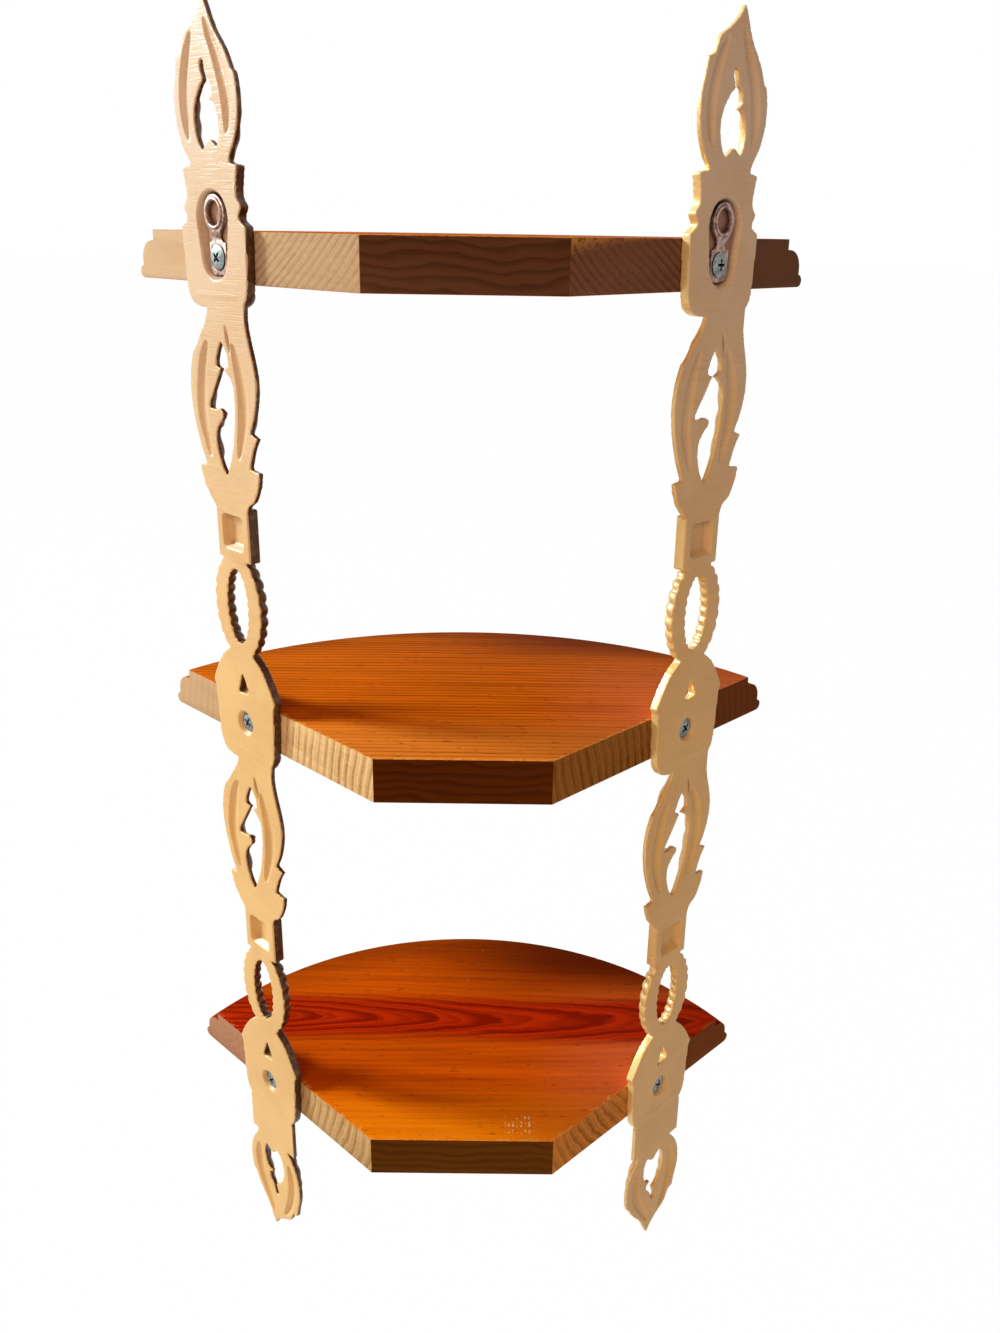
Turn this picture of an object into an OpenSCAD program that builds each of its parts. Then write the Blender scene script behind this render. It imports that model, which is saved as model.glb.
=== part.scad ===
// Corner wall shelf: three moulded-edge boards carried by two pierced ornamental stiles.
// Both stiles are the same moulding, and lie flat on the two walls of a room's corner.
// The origin is midway between the eyes that the shelf hangs by. +Z is up and -Y points into the room.
// Inside the modules, the corner line of the room is the Z axis, the walls are the planes y = -|x|,
// and z = 0 is the top face of the top board.

/* [Boards] */
// Thickness of a board
board_t = 19; // [17:0.5:22]
// Height from one board's top face to the next one's
shelf_pitch = 193; // [180:1:230]
// Half the width of a board's top face, from the middle to a tip
half_width = 131; // [124:1:150]
// Depth of the top board's top face, from the corner of its wall edges to the front
reach_top = 197; // [180:1:215]
// Depth of the middle board's top face
reach_middle = 191; // [180:1:215]
// Depth of the bottom board's top face
reach_bottom = 203; // [180:1:215]
// Width of the cut-off corner of the top and middle boards
corner_cut = 71; // [50:1:90]
// Width of the cut-off corner of the bottom board
corner_cut_bottom = 83; // [50:1:100]

/* [Moulded front edge] */
// Height of the square fillet at the top of the edge
fillet_h = 4.2; // [3:0.1:5.5]
// Step from the fillet out to the ovolo
fillet_step = 2; // [1:0.1:3]
// Radius of the quarter-round ovolo
ovolo_r = 7.4; // [6:0.1:8.5]
// Height of the rounded bead at the foot of the edge
bead_h = 5; // [4:0.1:6]

/* [Stiles] */
// Distance along a board's wall edge from its tip to a stile's centre line
stile_inset = 48.2; // [35:0.1:60]
// Thickness of a stile where a board bears on it
pad_t = 4; // [3.6:0.1:6]
// Thickness of a stile at the rim of its pierced parts
web_t = 2.2; // [1.8:0.1:3.2]
// Height of the leaf relief above the rim, at its crown
relief_h = 4; // [2.5:0.1:5]
// Depth of the rounded hollows in the back of the leaves
hollow_d = 1.6; // [1:0.1:1.7]
// Width of a tablet, the solid part behind a board
tablet_w = 46.4; // [43:0.2:50]
// Height of a tablet above the board's top face
tablet_rise = 22; // [20:0.5:26]
// Height of a tablet below the board's underside
tablet_drop = 9; // [9:0.5:14]
// Width over a scroll's two arms
scroll_w = 47.2; // [44:0.2:50]
// Width of the neck block between a scroll and an oval
neck_w = 23; // [20:0.5:26]
// Height of the neck block
neck_h = 22.5; // [20:0.5:26]
// Thickness of the neck block
neck_t = 5.4; // [5:0.1:6.4]
// Height of the plain tail between the bottom tablet and its finial
tail_h = 17.5; // [14:0.5:22]
// Width of the plain tail
tail_w = 35; // [30:0.5:40]
// Width of a finial
finial_w = 41.6; // [39:0.2:46]
// Height of a finial
finial_h = 57; // [50:0.5:64]

/* [Rope ovals] */
// Width of the oval outside
oval_w = 34; // [32:0.5:38]
// Height of the oval outside
oval_h = 47; // [43:0.5:52]
// Width of the oval's eye
eye_w = 14.6; // [12:0.2:16]
// Height of the oval's eye
eye_h = 32.4; // [28:0.2:34]
// Number of strands that show round the rope
rope_strands = 24; // [18:1:28]
// How far a strand stands out from the rope's hollows
strand_h = 0.7; // [0.3:0.1:1]

/* [Ledges] */
// Width of the ledge that a board rests on
ledge_w = 34; // [28:0.5:38]
// Height of the half-round ledge
ledge_h = 8.4; // [7:0.1:8.8]

/* [Screws] */
// Diameter of a screw's shank
screw_d = 4.8; // [4:0.1:5.2]
// Diameter of a screw's head
screw_head_d = 9.2; // [8.6:0.1:9.8]
// Height of the cone under a screw's head
screw_cone_h = 2.2; // [1.8:0.1:2.4]
// Rise of a screw's domed top
screw_dome_h = 0.8; // [0.6:0.1:1]
// Length of a screw from its head's rim
screw_len = 26; // [20:1:32]
// Width of the dished recess round the head of a lower screw
recess_d = 11.4; // [10.6:0.1:12.4]
// Depth of a lower screw's domed top below the stile's back
head_sunk = 0.8; // [0.4:0.1:1]

/* [Wall hangers] */
// Thickness of the hanger strap
strap_t = 1.2; // [1:0.1:1.2]
// Width of the strap's foot
strap_w = 10.8; // [10:0.1:12]
// Width of the neck between the strap's foot and its ring
strap_neck_w = 4.8; // [4:0.1:6]
// Radius of the eye that goes over a wall hook
hook_eye_r = 4.5; // [3.5:0.1:5]
// Width of the ring round the eye
ring_w = 2.2; // [1.8:0.1:2.6]
// Height of the eye above the screw
hook_eye_rise = 15.8; // [14.8:0.1:16.8]
// How far the eye is cranked off the pocket's floor, which is the room for a hook's head
hook_eye_lift = 0.9; // [0.5:0.1:1.2]
// Width of the head of the egg-shaped pocket that holds the strap
pocket_w = 22; // [20:0.5:24]
// Width of the pocket's foot
pocket_foot_w = 17.6; // [16.4:0.2:19]
// Height of the pocket
pocket_h = 34; // [33:0.5:37]
// Depth of the pocket
pocket_d = 2.8; // [2.6:0.1:3]

/* [Hidden] */

// Turn of each wall from the line that halves the room's corner
WALL_TURN = 45;
// Gap between a screw and the holes it passes through
SCREW_GAP = 0.1;
// How far a top screw's rim stands off the strap that it holds
HEAD_PROUD = 0.4;
// Length of the crank in the strap
CRANK_RUN = 2;
// Where the strap's neck runs into its ring, as the angle from the ring's foot
RING_JOIN = 45;
// How much further the strap's square foot reaches below its screw than to either side
FOOT_OVERHANG = 1;
// Diameter of the blunt end of a screw's point
POINT_D = 1;
// How far raised parts are let into the face below them, so that they are one solid with it
ROOT = 0.5;
// Overshoot of cutters past the face they break through
OVER = 1;
// Overlap of the oval with the tablet below it
OVAL_LAP = 1.5;
// Overlap of the neck block with the oval below it
NECK_LAP = 3;
// Angles that draw the arched back of a leaf or of the rope
ARCH = [180, 135, 90, 45, 0];
// Width, height and depth of the pocket in the back of a neck block, which tapers by NECK_DRAFT
NECK_POCKET = [15.6, 15.6, 3.2];
NECK_DRAFT = 0.78;

LEFT = -1;
RIGHT = 1;
TOP = 0;
MIDDLE = 1;
BOTTOM = 2;
reach = [reach_top, reach_middle, reach_bottom];
cut = [corner_cut, corner_cut, corner_cut_bottom];

// Heights along a stile, from the top face of the board behind each tablet
screw_y = -board_t / 2;
foot_y = -board_t - tablet_drop;
oval_y = tablet_rise - shelf_pitch + oval_h / 2 - OVAL_LAP;
neck_y = oval_y + oval_h / 2 - NECK_LAP;
scroll_h = foot_y - neck_y - neck_h;
edge_out = fillet_step + ovolo_r + bead_h / 2;
crown_z = max(web_t, pad_t) + relief_h;
strap_z = pocket_d - strap_t;
pocket_y = screw_y + hook_eye_rise / 2;

// Places on the walls: a stile's centre line, and the line between the two hook eyes
stile_run = half_width / cos(WALL_TURN) - stile_inset;
stile_x = stile_run * sin(WALL_TURN);
eye_back = stile_x + (strap_z - hook_eye_lift + strap_t / 2) * sin(WALL_TURN);
eye_up = screw_y + hook_eye_rise;

wood_colour = "peru";
gilt_colour = "goldenrod";
steel_colour = "silver";

// A point on the smooth curve between b and c, which also heeds their neighbours a and d
function curve_at(a, b, c, d, t) =
    (2 * b + (c - a) * t + (2 * a - 5 * b + 4 * c - d) * t * t + (3 * b - a - 3 * c + d) * t * t * t) / 2;

// A smooth run through the points p, with n steps from each one to the next
function smooth(p, n = 2) = let (last = len(p) - 1) concat(
    [for (i = [0:last - 1]) for (j = [0:n - 1])
        curve_at(p[max(i - 1, 0)], p[i], p[i + 1], p[min(i + 2, last)], j / n)],
    [p[last]]);

function mirrored(p) = [for (i = [len(p) - 1:-1:0]) [-p[i].x, p[i].y]];
function sized(p, k) = [for (q = p) [q.x * k.x, q.y * k.y]];
function oval(w, h, n = 60) = [for (i = [0:n - 1]) [w * cos(360 * i / n), h * sin(360 * i / n)] / 2];
function arc(r, y, from, to, n = 14) = [for (i = [0:n]) let (a = from + (to - from) * i / n)
    [r * cos(a), y + r * sin(a)]];

// Egg that stands on its narrow end: two arcs and their common tangents
function egg(head_w, foot_w, h) = let (
    lean = asin((head_w - foot_w) / (2 * h - head_w - foot_w)))
    concat(arc(head_w / 2, (h - head_w) / 2, -lean, 180 + lean),
        arc(foot_w / 2, (foot_w - h) / 2, 180 + lean, 360 - lean));

// Stretch of each carved outline from the width and height at which its points are drawn
function scroll_k() = [scroll_w / 47.2, scroll_h / 78];
function finial_k() = [finial_w / 41.6, finial_h / 57];
function tablet_k() = [tablet_w / 46.4, tablet_rise / 22];

// Scroll outlines: y runs from 0 at the tablet's foot down to the neck block
function scroll_outline() = concat(
    smooth([[-18, 3], [-17.5, -4], [-18.8, -10.5], [-22, -21], [-22.9, -29], [-20.6, -39], [-17, -46.2]]),
    smooth([[-21.6, -48], [-18.3, -53], [-15.4, -60.6]]),
    smooth([[-21.8, -61.4], [-20.6, -67], [-17, -73.5], [-13, -76], [-11.5, -79]]),
    smooth([[11.5, -79], [15.5, -75], [18.6, -71], [21.2, -63.3]]),
    smooth([[15.8, -62.5], [19.5, -55], [23, -44], [24.3, -33], [23, -24], [20.4, -17.4]]),
    smooth([[18.8, -16.3], [13.5, -9.5], [9, -3.5], [7, 3]]));

function scroll_opening() = concat(
    smooth([[0, -12.5], [2.6, -16.5], [4.2, -21.6]]),
    [[0.9, -22.8]],
    smooth([[2, -24.2], [5.4, -29.4], [10.6, -37]]),
    smooth([[10.9, -38.9], [7.5, -39.4], [3.8, -38.8], [1.2, -40.2]]),
    smooth([[1.6, -42.2], [6.6, -47.5], [7.2, -54], [4.6, -61.5], [1.3, -65.5]]),
    smooth([[0.3, -64], [-3.4, -56], [-6.3, -45], [-7.4, -34], [-6.6, -28], [-3.6, -24.8]]),
    [[-0.9, -23.4]],
    smooth([[-4.6, -21.4], [-3.8, -17], [-1.2, -13.4]]));

// Hollows in the back of a scroll: [x, y, width, share of hollow_d] along each one's middle
function scroll_hollows() = [
    [[-7.2, -12, 2.4, 0.4], [-10.6, -20, 6, 0.9], [-13.2, -31, 7.2, 1], [-12.6, -42, 6.8, 1],
        [-9.8, -52, 4.6, 0.8], [-8, -58.5, 2, 0.4]],
    [[9.4, -12, 2.4, 0.4], [13, -20, 5.6, 0.9], [15.6, -31, 6.8, 1], [16.4, -42, 6.6, 1],
        [14, -52, 5, 0.8], [11.8, -60, 2.2, 0.4]],
    [[-3.8, -6, 1.4, 0.4], [-4.9, -11, 2.6, 0.9], [-6.3, -17, 1.2, 0.4]]];

// Finial outlines: y runs from 0 at the base up to the tip
function finial_outline() = concat(
    smooth([[11, -3], [11.5, 1], [16.4, 7], [19.9, 15], [20.6, 25], [18.6, 33], [17.4, 38.6]]),
    smooth([[14, 39.4], [13.2, 41.2], [11, 45.6], [5.2, 49], [0.2, 53], [-2.4, 57]]),
    smooth([[-4.6, 53], [-8.2, 46], [-14.6, 38.5], [-18.2, 32]]),
    smooth([[-19.8, 31], [-21, 26], [-21, 18], [-18.4, 10], [-14, 3.5], [-13, -3]]));

function finial_opening() = concat(
    smooth([[1.4, 36], [1.8, 33.6], [0.3, 29.6], [2.6, 27.6], [6.6, 22], [7.8, 16], [6.2, 9.5],
        [3.4, 6.2]]),
    smooth([[1.4, 7.4], [-1.6, 9.6], [-4.6, 8]]),
    smooth([[-6.4, 6.8], [-8.4, 12], [-7.8, 18], [-5.6, 22]]),
    [[-2.4, 22.8]],
    smooth([[-5.4, 24.6], [-4.4, 28.6], [-2.2, 30.6], [-1.2, 33.6], [-0.6, 36.2]]));

// Hollows in the back of a finial, given as the scroll's are
function finial_hollows() = [
    [[-13, 10, 2.2, 0.4], [-14.2, 18.5, 6, 1], [-12.8, 28, 6.4, 1], [-8.6, 38, 5.2, 1],
        [-5, 44.5, 4, 0.8], [-2.4, 50, 1.6, 0.4]],
    [[11.8, 8.6, 2, 0.4], [13.6, 16, 5, 1], [14, 24, 5.6, 1], [12.6, 32, 5.2, 1], [9.6, 40, 4.2, 0.9],
        [5.8, 46.5, 1.6, 0.4]]];

// Tablet outlines: y = 0 is the board's top face. The upper half stretches with the tablet's rise
function shield_outline(ky) = let (half = concat(
    smooth(sized([[8.5, 23.5], [14.2, 19.4], [19, 13], [23.2, 5.6]], [1, ky])),
    smooth([[21.8, 3], [21.4, -6], [20.9, foot_y + 13], [19.8, foot_y + 6], [16.6, foot_y + 1.4],
        [12, foot_y]])))
    concat(mirrored(half), half);

function head_outline(ky) = let (half = concat(
    sized([[12.5, 23.6], [18.4, 22.6]], [1, ky]),
    smooth(sized([[17.2, 17], [16.8, 12], [19.4, 8.6], [17.4, 4.6], [21.8, 1.6]], [1, ky])),
    smooth([[21.6, -4], [21.2, foot_y + 13], [20, foot_y + 5], [16.6, foot_y + 1.2], [12, foot_y]])))
    concat(mirrored(half), half);

function shield_opening() = concat(
    smooth([[-0.2, 14], [-2, 10.6], [-3.8, 7.4], [-3.9, 5.6]]),
    smooth([[-3.4, 5], [0, 4.5], [3.4, 4.4]]),
    smooth([[3.6, 5.2], [2.2, 8.8], [0.6, 12.8]]));

module plate(points, t) {
    linear_extrude(t) polygon(points);
}

// Cutter through the whole thickness
module through(points) {
    translate([0, 0, -OVER]) linear_extrude(crown_z + 2 * OVER) polygon(points);
}

// Spine of a leaf or a hollow, whose points are stretched by k and have heights that are shares of h
function spine(p, k, h) = [for (q = p) [q.x * k.x, q.y * k.y, q[2] * k.x, q[3] * h]];

// Raised leaf with a rounded back: each point of the spine is [x, y, width, height above base]
module leaf(spine, base, n = 2) {
    s = smooth(spine, n);
    last = len(s) - 1;
    q = len(ARCH);
    function side(i) = let (d = s[min(i + 1, last)] - s[max(i - 1, 0)]) [d.y, -d.x] / norm([d.x, d.y]);
    points = [for (i = [0:last]) for (a = ARCH) let (across = side(i) * cos(a) * s[i][2] / 2)
        [s[i].x + across.x, s[i].y + across.y, base - ROOT + (s[i][3] + ROOT) * sin(a)]];
    sides = [for (i = [0:last - 1]) for (j = [0:q - 1]) let (a = i * q + j, b = i * q + (j + 1) % q)
        each [[a, a + q, b + q], [a, b + q, b]]];
    ends = [[for (j = [0:q - 1]) j], [for (j = [q - 1:-1:0]) last * q + j]];
    polyhedron(points, concat(sides, ends));
}

// Rope laid round the oval, its strands slanting across its crown
module rope() {
    lay = 180 / rope_strands;
    q = len(ARCH);
    function rope_point(t, a, swell) = let (
        edge = [oval_w * cos(t), oval_h * sin(t)] / 2,
        eye = [eye_w * cos(t), eye_h * sin(t)] / 2,
        across = (edge - eye) / 2,
        k = cos(a) * (1 + swell / norm(across)))
        [(edge.x + eye.x) / 2 + across.x * k, (edge.y + eye.y) / 2 + across.y * k,
            web_t - ROOT + (relief_h + ROOT + swell) * sin(a)];
    points = [for (i = [0:2 * rope_strands - 1]) for (a = ARCH)
        rope_point(lay * (i + (90 - a) / 90), a, i % 2 == 0 ? strand_h : 0)];
    total = len(points);
    faces = [for (i = [0:2 * rope_strands - 1]) for (j = [0:q - 1]) let (
        a = i * q + j, b = i * q + (j + 1) % q)
        each [[a, (a + q) % total, (b + q) % total], [a, (b + q) % total, b]]];
    polyhedron(points, faces);
}

// Rounded hollows in the back face, along the middle lines in the list
module hollows(list, k) {
    for (line = list) leaf(spine(line, k, hollow_d), 0);
}

// Depth of a screw's dome below a stile's back face
function seat(level) = level == TOP ? strap_z - HEAD_PROUD - screw_dome_h : head_sunk;

// Hole for a screw, from a stile's back face into the board: dished, then countersunk
module screw_hole(level) {
    head_r = screw_head_d / 2 + SCREW_GAP;
    shank_r = screw_d / 2 + SCREW_GAP;
    mouth_r = level == TOP ? head_r : recess_d / 2;
    rim_z = seat(level) + screw_dome_h;
    translate([0, screw_y, 0]) {
        translate([0, 0, -OVER]) cylinder(r = mouth_r, h = OVER);
        cylinder(r1 = mouth_r, r2 = head_r, h = rim_z);
        translate([0, 0, rim_z]) cylinder(r1 = head_r, r2 = shank_r, h = screw_cone_h);
        translate([0, 0, rim_z]) cylinder(r = shank_r, h = screw_len + SCREW_GAP);
    }
}

// Half-round ledge under a board
module ledge() {
    r = ledge_h / 2;
    translate([-ledge_w / 2 + r, -board_t - r, pad_t]) {
        rotate([0, 90, 0]) cylinder(r = r, h = ledge_w - 2 * r, $fn = 24);
        for (x = [0, ledge_w - 2 * r]) translate([x, 0, 0]) sphere(r = r, $fn = 24);
    }
}

// Leaves over a board: the middle one is a bud above the opening of the lower tablets
module tablet_leaves(level, k) {
    middle = level == TOP ? [[0, 1.6, 9, 0.4], [0, 9, 10, 0.85], [0, 18, 5, 0.55]]
        : [[0, 14.4, 4, 0.3], [0, 17.6, 7, 0.8], [0, 21.6, 4, 0.4]];
    beside = [for (s = [-1, 1]) [[s * 7.4, 1.8, 6, 0.4], [s * 11, 8, 7, 0.75], [s * 11.4, 15, 4, 0.45]]];
    for (line = concat([middle], beside)) leaf(spine(line, k, relief_h), pad_t);
}

module scroll() {
    k = scroll_k();
    difference() {
        union() {
            plate(sized(scroll_outline(), k), web_t);
            scroll_leaves(k);
        }
        through(sized(scroll_opening(), k));
        hollows(scroll_hollows(), k);
    }
}

module scroll_leaves(k) {
    module raised(points) {
        leaf(spine(points, k, relief_h), web_t);
    }
    raised([[-8, 2, 12, 0.4], [-9.8, -10, 14, 0.8], [-13.4, -24, 14, 1], [-14.9, -36, 11.4, 1],
        [-12, -47, 9.4, 0.9], [-8.6, -60, 9, 0.7]]);
    raised([[3, -2, 7, 0.4], [9, -11, 9, 0.8], [13.4, -24, 14, 1], [17.4, -38, 11, 1],
        [14, -52, 10, 0.9], [9.4, -62, 9, 0.7]]);
    raised([[8.6, -47, 4, 0.5], [7.4, -42.6, 4, 0.7], [3.8, -40.8, 2, 0.5]]);
    for (s = [-1, 1]) raised([[s * 7, -78, 5, 0.4], [s * 12, -71, 8, 0.8], [s * 18, -65, 4, 0.5]]);
    raised([[0, -69, 4, 0.4], [0, -73.5, 8, 0.9], [0, -79, 6, 0.6]]);
}

module finial() {
    k = finial_k();
    difference() {
        union() {
            plate(sized(finial_outline(), k), web_t);
            leaf(spine([[-8, 0, 8, 0.4], [-13.6, 10, 9, 0.8], [-14.4, 20, 11, 1], [-11, 31, 11, 0.9],
                [-5.6, 42, 7, 0.6], [-3, 52, 3, 0.3]], k, relief_h), web_t);
            leaf(spine([[7, 0, 6, 0.4], [12, 9, 8, 0.8], [14, 20, 10, 1], [11.4, 31, 11, 0.9],
                [5.4, 42, 7, 0.6]], k, relief_h), web_t);
        }
        through(sized(finial_opening(), k));
        hollows(finial_hollows(), k);
    }
}

module neck() {
    difference() {
        translate([-neck_w / 2, 0, 0]) cube([neck_w, neck_h, neck_t]);
        translate([0, neck_h / 2, -ROOT / 2])
            linear_extrude(NECK_POCKET.z + ROOT / 2, scale = NECK_DRAFT)
                square([NECK_POCKET.x, NECK_POCKET.y], center = true);
    }
}

module rope_oval() {
    difference() {
        plate(oval(oval_w - strand_h, oval_h - strand_h), web_t);
        through(oval(eye_w + strand_h, eye_h + strand_h));
    }
    rope();
}

module tablet(level) {
    k = tablet_k();
    difference() {
        union() {
            plate(sized(level == TOP ? head_outline(k.y) : shield_outline(k.y), [k.x, 1]), pad_t);
            tablet_leaves(level, k);
            ledge();
        }
        screw_hole(level);
        if (level == TOP)
            translate([0, pocket_y, -OVER]) plate(egg(pocket_w, pocket_foot_w, pocket_h), pocket_d + OVER);
        else
            through(sized(shield_opening(), k));
    }
}

module stile() {
    color(gilt_colour) union() {
        for (level = [TOP, MIDDLE, BOTTOM]) translate([0, -level * shelf_pitch, 0]) {
            tablet(level);
            if (level != BOTTOM) {
                translate([0, foot_y, 0]) scroll();
                translate([0, neck_y, 0]) neck();
                translate([0, oval_y, 0]) rope_oval();
            }
        }
        translate([0, tablet_rise, 0]) finial();
        translate([0, -2 * shelf_pitch + foot_y - tail_h, 0]) {
            translate([-tail_w / 2, -OVER, 0]) cube([tail_w, tail_h + 2 * OVER, web_t]);
            rotate([0, 0, 180]) finial();
        }
    }
}

// Places children drawn on a stile's face, x across and z into the room, on a wall
module on_wall(side) {
    translate([side * stile_x, -stile_x, 0]) rotate([0, 0, -side * WALL_TURN]) rotate([90, 0, 0]) children();
}

// Moulded edge: fillet, ovolo and bead, out from radius r of the top face
function edge_profile(r) = let (ovolo_x = r + fillet_step, bead_x = ovolo_x + ovolo_r) concat(
    [[0, 0], [r, 0], [r, -fillet_h]],
    [for (a = [90:-15:0]) [ovolo_x + ovolo_r * cos(a), -fillet_h - ovolo_r * (1 - sin(a))]],
    [for (a = [90:-20:-90]) [bead_x + bead_h / 2 * cos(a), -board_t + bead_h / 2 * (1 + sin(a))]],
    [[0, -board_t]]);

module board(level) {
    sag = reach[level] - half_width;
    r = (half_width * half_width + sag * sag) / (2 * sag);
    c = cut[level] / 2;
    far = reach[level] + edge_out + OVER;
    color(wood_colour) difference() {
        translate([0, -pad_t / sin(WALL_TURN), 0]) intersection() {
            translate([0, r - reach[level], 0]) rotate_extrude($fn = 180) polygon(edge_profile(r));
            translate([0, 0, -board_t - OVER]) linear_extrude(board_t + 2 * OVER)
                polygon([[-c, -c], [c, -c], [far, -far], [-far, -far]]);
        }
        for (side = [LEFT, RIGHT]) on_wall(side) screw_hole(level);
    }
}

module screw() {
    dome_r = (pow(screw_head_d / 2, 2) + pow(screw_dome_h, 2)) / (2 * screw_dome_h);
    tip_h = screw_d;
    color(steel_colour) union() {
        intersection() {
            translate([0, 0, dome_r]) sphere(r = dome_r, $fn = 64);
            cylinder(r = screw_head_d / 2, h = screw_dome_h);
        }
        translate([0, 0, screw_dome_h]) {
            cylinder(r1 = screw_head_d / 2, r2 = screw_d / 2, h = screw_cone_h);
            cylinder(r = screw_d / 2, h = screw_len - tip_h);
            translate([0, 0, screw_len - tip_h]) cylinder(r1 = screw_d / 2, r2 = POINT_D / 2, h = tip_h);
        }
    }
}

// Side view of the strap, cranked between its foot and its eye: [height, depth]
function strap_profile() = let (
    low = -strap_w,
    bend = hook_eye_rise - hook_eye_r - ring_w,
    high = hook_eye_rise + hook_eye_r + ring_w + OVER,
    back = strap_z - hook_eye_lift)
    [[low, strap_z], [bend - CRANK_RUN, strap_z], [bend, back], [high, back],
        [high, back + strap_t], [bend, back + strap_t], [bend - CRANK_RUN, pocket_d], [low, pocket_d]];

// Front view of the strap's neck, which is let into the foot and flares up to the ring
function strap_neck() = let (
    ring_r = hook_eye_r + ring_w,
    waist_y = (strap_w / 2 + hook_eye_rise - ring_r) / 2,
    half = smooth([[strap_w / 2 - ROOT, strap_w / 2 - ROOT], [strap_neck_w / 2, waist_y],
        [ring_r * sin(RING_JOIN), hook_eye_rise - ring_r * cos(RING_JOIN)]], n = 4))
    concat(half, mirrored(half));

module strap() {
    foot_h = strap_w / 2 + FOOT_OVERHANG;
    color(steel_colour) difference() {
        translate([0, screw_y, 0]) intersection() {
            rotate([0, 90, 0]) rotate([0, 0, 90]) translate([0, 0, -strap_w])
                linear_extrude(2 * strap_w) polygon(strap_profile());
            linear_extrude(pocket_d) difference() {
                union() {
                    translate([0, hook_eye_rise]) circle(r = hook_eye_r + ring_w, $fn = 48);
                    translate([-strap_w / 2, -foot_h]) square([strap_w, foot_h + strap_w / 2]);
                    polygon(strap_neck());
                }
                translate([0, hook_eye_rise]) circle(r = hook_eye_r, $fn = 48);
            }
        }
        screw_hole(TOP);
    }
}

// Puts the origin midway between the hook eyes
module hung() {
    translate([0, eye_back, -eye_up]) children();
}

module board_at(level) {
    hung() translate([0, 0, -level * shelf_pitch]) board(level);
}

module stile_on(side) {
    hung() on_wall(side) stile();
}

module hanger_on(side) {
    hung() on_wall(side) strap();
}

module screw_on(side, level) {
    hung() on_wall(side) translate([0, screw_y - level * shelf_pitch, seat(level)]) screw();
}

board_at(TOP);  // shelf_top
board_at(MIDDLE);  // shelf_middle
board_at(BOTTOM);  // shelf_bottom
stile_on(LEFT);  // stile_left
stile_on(RIGHT);  // stile_right
hanger_on(LEFT);  // hanger_left
hanger_on(RIGHT);  // hanger_right
screw_on(LEFT, TOP);  // screw_top_left
screw_on(RIGHT, TOP);  // screw_top_right
screw_on(LEFT, MIDDLE);  // screw_middle_left
screw_on(RIGHT, MIDDLE);  // screw_middle_right
screw_on(LEFT, BOTTOM);  // screw_bottom_left
screw_on(RIGHT, BOTTOM);  // screw_bottom_right
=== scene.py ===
"""Corner wall shelf: three moulded boards between two pierced, gilt stiles, seen from its wall side."""

import logging
import math
from collections.abc import Sequence
from dataclasses import dataclass, field
from enum import Enum
from functools import reduce

import bpy
from mathutils import Matrix, Vector


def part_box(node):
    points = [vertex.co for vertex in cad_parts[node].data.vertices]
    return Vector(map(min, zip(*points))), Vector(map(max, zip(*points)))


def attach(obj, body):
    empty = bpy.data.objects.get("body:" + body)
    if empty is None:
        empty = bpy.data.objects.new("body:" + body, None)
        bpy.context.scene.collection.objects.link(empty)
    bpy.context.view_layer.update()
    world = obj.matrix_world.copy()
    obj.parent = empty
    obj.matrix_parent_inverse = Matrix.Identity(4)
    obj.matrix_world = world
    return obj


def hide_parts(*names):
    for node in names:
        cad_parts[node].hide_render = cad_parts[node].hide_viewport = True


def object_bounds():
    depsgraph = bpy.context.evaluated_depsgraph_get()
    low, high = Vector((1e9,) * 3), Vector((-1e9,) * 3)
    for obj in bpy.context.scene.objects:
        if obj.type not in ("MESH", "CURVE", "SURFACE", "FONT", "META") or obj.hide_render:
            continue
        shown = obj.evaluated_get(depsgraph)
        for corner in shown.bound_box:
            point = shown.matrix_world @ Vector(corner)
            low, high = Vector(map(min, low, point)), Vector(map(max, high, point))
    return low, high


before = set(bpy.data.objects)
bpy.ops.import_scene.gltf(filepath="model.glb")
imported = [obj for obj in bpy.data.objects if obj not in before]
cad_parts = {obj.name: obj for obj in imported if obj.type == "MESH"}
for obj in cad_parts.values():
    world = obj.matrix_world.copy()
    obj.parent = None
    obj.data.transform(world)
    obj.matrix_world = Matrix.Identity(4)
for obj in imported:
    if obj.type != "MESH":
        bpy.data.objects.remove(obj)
CAD_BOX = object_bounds()

LOG = logging.getLogger("corner_shelf")
MM = 0.001
BODY = "root"
WALL_TURN = math.radians(45)
FULL_TURN = 2 * math.pi
PHOTO_HEIGHT = 1333
SOFT_ANGLE = math.radians(35)
CORNER_ANGLE = math.radians(40)
SIDE_BLEND = 0.001
MIX_COLOUR_INPUTS = (0, 6, 7)
MIX_COLOUR_OUTPUT = 2

Point = tuple[float, float]
Colour = tuple[float, float, float, float]
Spine = Sequence[Sequence[float]]
Piece = bpy.types.Object
Socket = bpy.types.NodeSocket
Value = float | Socket


class Side(Enum):
    """The wall a piece is on, seen from the room."""

    LEFT = -1
    RIGHT = 1


class Level(Enum):
    """The board a piece belongs to."""

    TOP = 0
    MIDDLE = 1
    BOTTOM = 2


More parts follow.
